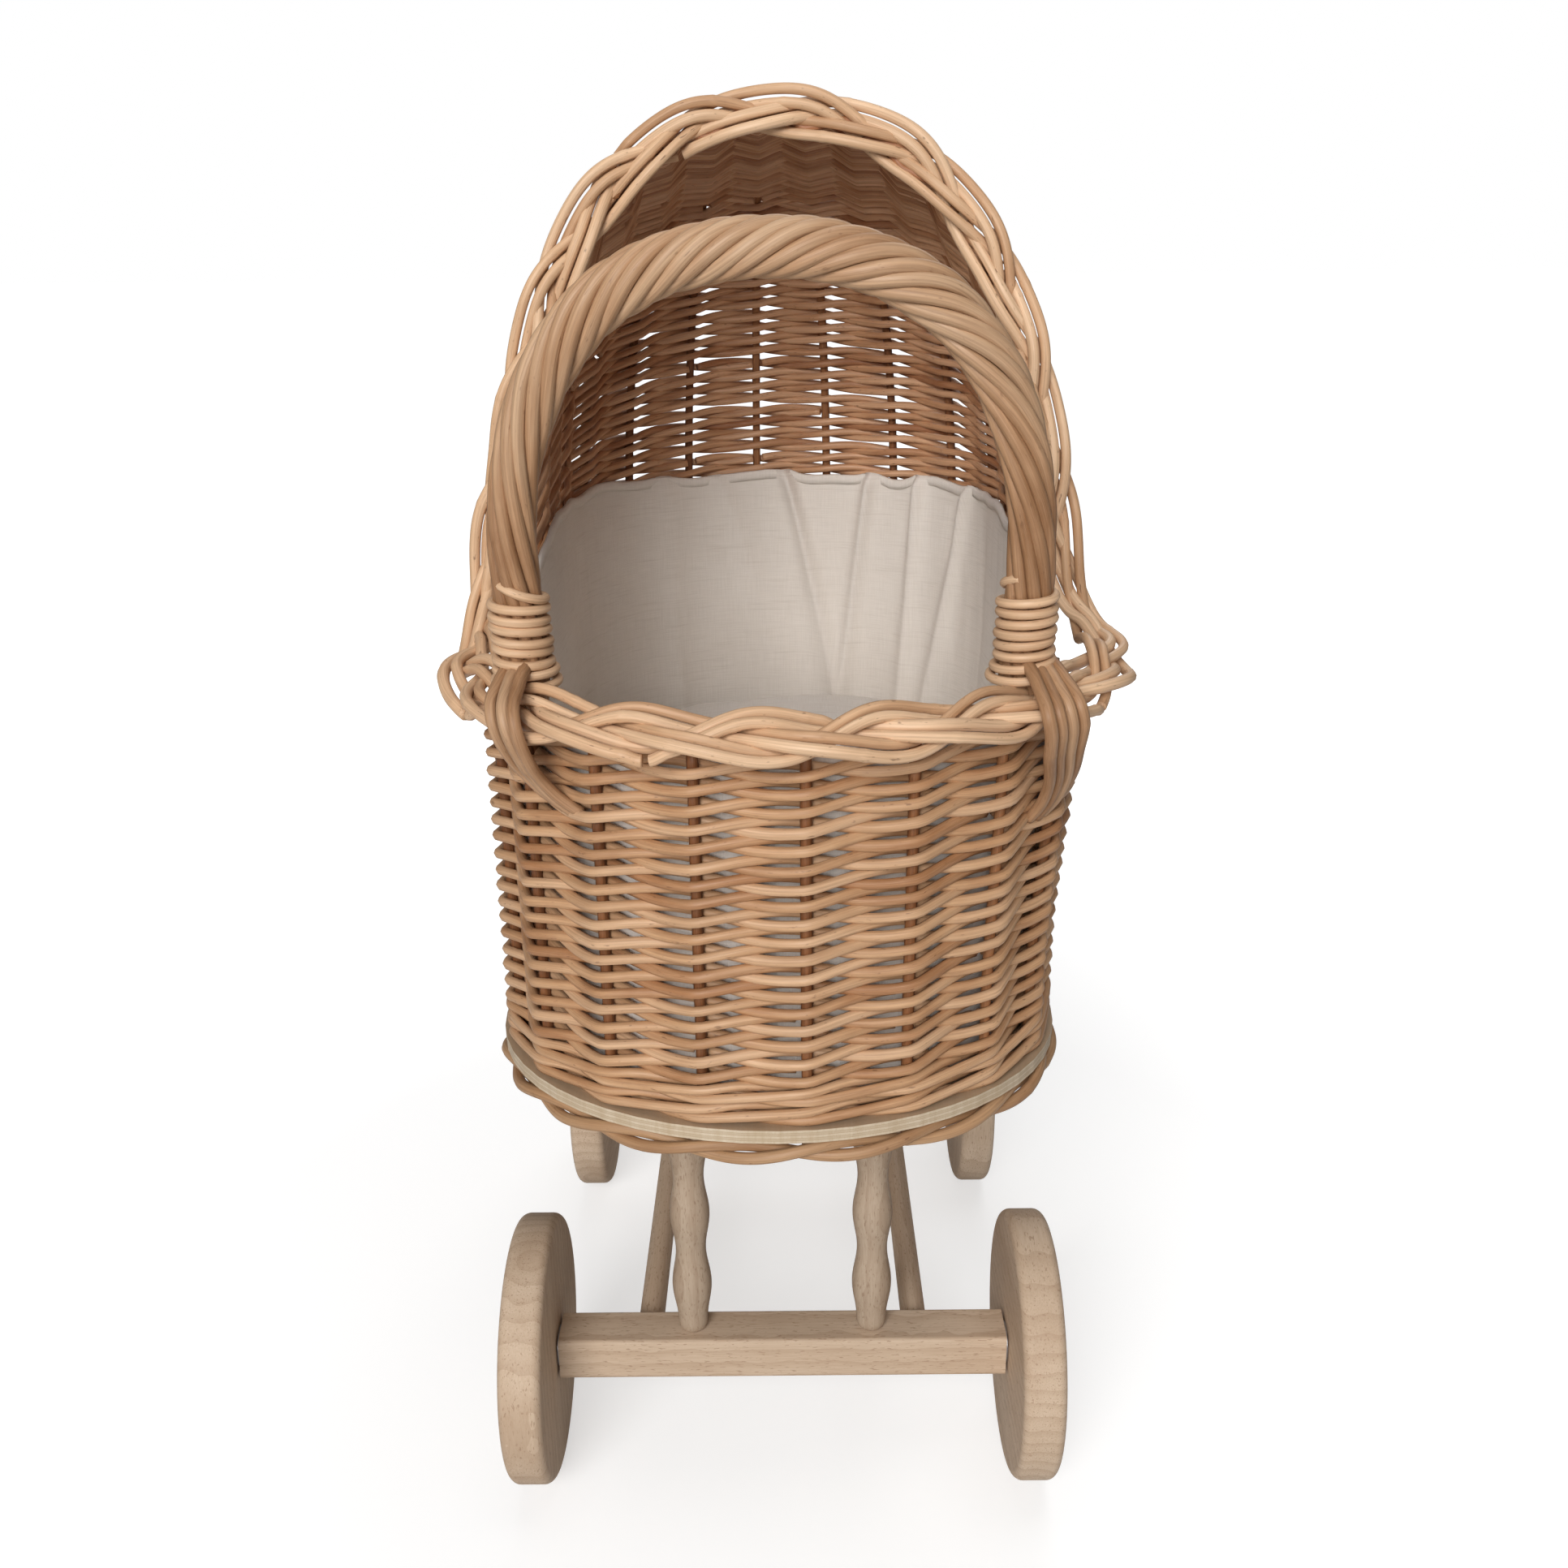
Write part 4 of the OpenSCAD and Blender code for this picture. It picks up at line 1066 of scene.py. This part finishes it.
def liner_wall():
    """The linen round the inside: almost smooth, with pleats at the far end."""
    columns, rows = 900, 90
    s = np.linspace(0, PERIMETER, columns, endpoint=False)
    edge = liner_top(plan(s, LINER_G)[:, 1])
    scallop = 1.2 * np.sin(s / 17.0) + 0.9 * np.sin(s / 9.1 + 2)
    for hem_x, _, depth, _, _ in PLEATS:
        off = s - far_s(hem_x)
        scallop += 0.45 * depth * hill(off, 9) - 0.2 * depth * hill(off, 24)
    edge = np.minimum(edge + scallop - 1.5, LINER_FAR)
    points, cloth = [], []
    for v in np.linspace(0, 1, rows):
        z = LINER_LOW + (edge - LINER_LOW) * v
        below = edge - z
        inward = 0.6 + 0.6 * wander(s, 83.0, 1.0, 5) * smooth(below / 30)
        inward += 0.22 * (1 + wander(s + 0.12 * below, 37.0, 1.0, 9)) * smooth(below / 20)
        for hem_x, floor_x, depth, w0, w1 in PLEATS:
            part = np.clip(below / 150, 0, 1)
            middle = far_s(hem_x) + (far_s(floor_x) - far_s(hem_x)) * part ** 0.8
            width = w0 + (w1 - w0) * part
            fold = np.exp(-np.abs((s - middle) / width) ** 1.5)
            fade = 0.6 + 0.4 * np.exp(-below / 60)
            inward += depth * fade * fold * smooth((below + 5) / 12)
        most = 2.5 + 9.5 * smooth((z - 280) / 40)
        points.append(plan(s, LINER_G - np.clip(inward, 0, most), z))
        cloth.append(np.stack([s, z, inward], -1))
    # The hem is folded back on the inside.
    for drop, step in ((0.3, 0.9), (1.2, 1.5), (HEM, 1.3)):
        points.append(plan(s, LINER_G - 0.5 - step, edge - drop))
        cloth.append(np.stack([s, edge + drop, np.zeros_like(s)], -1))
    return cloth_mesh("liner_wall", points, cloth, ("liner",))


def thicken(obj, thickness):
    m = obj.modifiers.new("cloth thickness", "SOLIDIFY")
    m.thickness, m.offset = thickness, 0.0


def liner_floor():
    """The oval of linen under the mattress."""
    columns, rings = 200, 12
    s = np.linspace(0, PERIMETER, columns, endpoint=False)
    points, cloth = [], []
    for v in np.linspace(0.04, 1, rings):
        p = plan(s, LINER_G - 2.4, LINER_LOW + 0.1)
        p[:, :2] = np.array([0, MID_Y]) + (p[:, :2] - np.array([0, MID_Y])) * v
        p[:, 2] += 0.15 * np.sin(s / 13) * v
        points.append(p)
        cloth.append(p.copy())
    return cloth_mesh("liner_floor", points, cloth, ())


def swell(obj, voxel, pressure, cap, floor, ceiling):
    """Fills a closed shape by cloth simulation, then smooths it by one subdivision."""
    mesh_size = obj.modifiers.new("remesh", "REMESH")
    mesh_size.mode, mesh_size.voxel_size = "VOXEL", voxel * MM
    bake(obj)
    start = coordinates(obj.data)
    cloth = obj.modifiers.new("cloth", "CLOTH")
    cloth.settings.use_pressure = True
    cloth.settings.uniform_pressure_force = pressure
    cloth.settings.effector_weights.gravity = 0
    cloth.settings.quality = 5
    cloth.settings.tension_stiffness = 12
    cloth.settings.bending_stiffness = 0.4
    cloth.point_cache.frame_start, cloth.point_cache.frame_end = 1, 20
    scene = bpy.context.scene
    for step in range(1, 21):
        scene.frame_set(step)
    moved = coordinates(obj.evaluated_get(bpy.context.evaluated_depsgraph_get()).data)
    obj.modifiers.remove(cloth)
    scene.frame_set(1)
    move = moved - start
    size = np.linalg.norm(move, axis=1, keepdims=True)
    start = start + move * np.minimum(1, cap * MM / np.maximum(size, 1e-9))
    start[:, 2] = np.clip(start[:, 2], floor * MM, ceiling * MM)
    obj.data.vertices.foreach_set("co", start.astype(np.float32).ravel())
    finer = obj.modifiers.new("finer", "SUBSURF")
    finer.levels = finer.render_levels = 1
    bake(obj)


def coordinates(mesh):
    co = np.empty(len(mesh.vertices) * 3, np.float32)
    mesh.vertices.foreach_get("co", co)
    return co.reshape(-1, 3).astype(float)


def bake(obj):
    """Applies the object's modifiers."""
    graph = bpy.context.evaluated_depsgraph_get()
    mesh = bpy.data.meshes.new_from_object(obj.evaluated_get(graph), depsgraph=graph)
    old = obj.data
    obj.modifiers.clear()
    obj.data = mesh
    bpy.data.meshes.remove(old)
    mesh.polygons.foreach_set("use_smooth", np.ones(len(mesh.polygons), bool))


def cloth_from_place(obj, shift=0.0):
    """Cloth coordinates of a pad: its place, so that the threads run along X and Y."""
    co = coordinates(obj.data)
    co[:, 1] += co[:, 2] * 0.7 + shift
    store(obj.data, "cloth", co)


def pad_from_outline(name, rings, node):
    """A closed pad from level outlines, lowest first."""
    mesh = fill_mesh(name, np.vstack(rings), *tube_faces(len(rings), len(rings[0])))
    return new_object(name, mesh, pad_linen, "carriage", (node,))


def mattress_pad():
    low, high = bottom_of("mattress"), top_of("mattress")
    s = np.linspace(0, PERIMETER, 160, endpoint=False)
    rings = []
    for inset, part in ((16, 0.06), (9, 0.1), (5.5, 0.3), (5, 0.5), (6, 0.66), (10, 0.8),
                        (18, 0.86)):
        rings.append(plan(s, -11.0 - inset, low + (high - low) * part))
    obj = pad_from_outline("mattress_pad", rings, "mattress")
    swell(obj, 5.0, 4.0, 7.0, low + 0.1, high)
    cloth_from_place(obj)


CROWN_X = 33.0


def pillow_pad():
    lo, hi = (np.array(c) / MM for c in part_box("pillow"))
    middle, half = (lo + hi) / 2, (hi - lo) / 2
    a = 2 * np.pi * np.arange(120) / 120
    x = np.sign(np.cos(a)) * np.abs(np.cos(a)) ** 0.45
    y = np.sign(np.sin(a)) * np.abs(np.sin(a)) ** 0.45
    pull = 1 - 0.07 * np.cos(2 * a) ** 2
    rings = []
    for size, part in ((0.55, -0.62), (0.74, -0.5), (0.88, -0.26), (0.94, 0.0), (0.88, 0.26),
                       (0.74, 0.5), (0.55, 0.62)):
        rings.append(np.stack([middle[0] + half[0] * size * x * pull,
                               middle[1] + half[1] * size * y * pull,
                               np.full(120, middle[2] + half[2] * part)], -1))
    obj = pad_from_outline("pillow_pad", rings, "pillow")
    swell(obj, 4.0, 4.5, 10.0, lo[2] + 0.2, hi[2])
    # The crown is highest right of the middle.
    co = coordinates(obj.data) / MM
    above = smooth((co[:, 2] - middle[2]) / half[2])
    co[:, 2] -= 5.0 * above * (1 - hill(co[:, 0] - CROWN_X, 48))
    obj.data.vertices.foreach_set("co", (co * MM).astype(np.float32).ravel())
    obj.data.update()
    cloth_from_place(obj, 0.31)


wall = liner_wall()
thicken(wall, 0.0008)
bottom = liner_floor()
thicken(bottom, 0.0008)
mattress_pad()
pillow_pad()

# ---- floor, light and camera ------------------------------------------------------

# The floor is white to look at, most of all far off, and throws back less light than it shows.
FLOOR_NEAR, FLOOR_FAR, FLOOR_LIGHT = 0.55, 1.0, 0.05
FLOOR_FROM, FLOOR_TO, FLOOR_SIZE = 0.35, 1.1, 30
floor_graph = Graph("pale_floor", 0.8, Specular_IOR_Level=0.0, Emission_Color=(1, 1, 1, 1))
floor_graph.colour((0.62, 0.62, 0.62, 1))
floor_seen = floor_graph.node("LightPath", "Is Camera Ray")
floor_off = floor_graph.node("VectorMath", "Value", {0: floor_graph.place()}, operation="LENGTH")
floor_shown = floor_graph.span(floor_off, FLOOR_FROM, FLOOR_TO, FLOOR_NEAR, FLOOR_FAR)
floor_graph.put(floor_graph.shader.inputs["Emission Strength"],
                floor_graph.span(floor_seen, 0.0, 1.0, FLOOR_LIGHT, floor_shown))
floor_mesh = bpy.data.meshes.new("floor")
floor_corners = [(x * FLOOR_SIZE, y * FLOOR_SIZE, 0)
                 for x, y in ((-1, -1), (1, -1), (1, 1), (-1, 1))]
floor_mesh.from_pydata(floor_corners, [], [(0, 1, 2, 3)])
floor_mesh.materials.append(floor_graph.material)
floor = link("floor", floor_mesh)

# The sky is white to look at, and lights the scene more gently than it looks.
SKY_SEEN, SKY_LIGHT = 1.0, 0.13
world = bpy.data.worlds.new("soft_white")
world.use_nodes = True
sky_tree = world.node_tree
sky = sky_tree.nodes["Background"]
sky.inputs["Color"].default_value = (1, 1, 1, 1)
seen = sky_tree.nodes.new("ShaderNodeLightPath")
strength = sky_tree.nodes.new("ShaderNodeMapRange")
strength.inputs["To Min"].default_value = SKY_LIGHT
strength.inputs["To Max"].default_value = SKY_SEEN
sky_tree.links.new(seen.outputs["Is Camera Ray"], strength.inputs["Value"])
sky_tree.links.new(strength.outputs[0], sky.inputs["Strength"])
bpy.context.scene.world = world


def area_light(name, place, target, size, power):
    light = bpy.data.lights.new(name, "AREA")
    light.shape, light.size, light.energy = "DISK", size, power
    obj = link(name, light)
    obj.location = place
    obj.rotation_euler = (Vector(target) - Vector(place)).to_track_quat("-Z", "Y").to_euler()


area_light("key", (-0.8, -3.5, 1.95), (0, 0, 0.42), 2.2, 135)
area_light("top", (0.2, -0.2, 2.4), (0, 0, 0.4), 1.6, 12)
area_light("back", (0.3, 1.7, 1.5), (0, 0, 0.4), 1.4, 9)

PITCH, YAW, ROLL = (math.radians(v) for v in (21.56, -0.14, -0.59))
CAMERA_AT = (0.0047, -0.7540, 0.5692)
ahead = Vector((math.sin(YAW) * math.cos(PITCH), math.cos(YAW) * math.cos(PITCH),
                -math.sin(PITCH)))
level = Vector((math.cos(YAW), -math.sin(YAW), 0))
above = level.cross(ahead)
right = math.cos(ROLL) * level + math.sin(ROLL) * above
up = -math.sin(ROLL) * level + math.cos(ROLL) * above
camera = bpy.data.cameras.new("camera")
camera.lens, camera.sensor_width = 35.86, 36
camera.shift_y = 0.0487
camera_obj = link("camera", camera)
camera_obj.matrix_world = Matrix.Translation(CAMERA_AT) @ Matrix(
    (right, up, -ahead)).transposed().to_4x4()
bpy.context.scene.camera = camera_obj
bpy.context.scene.view_settings.view_transform = "Standard"
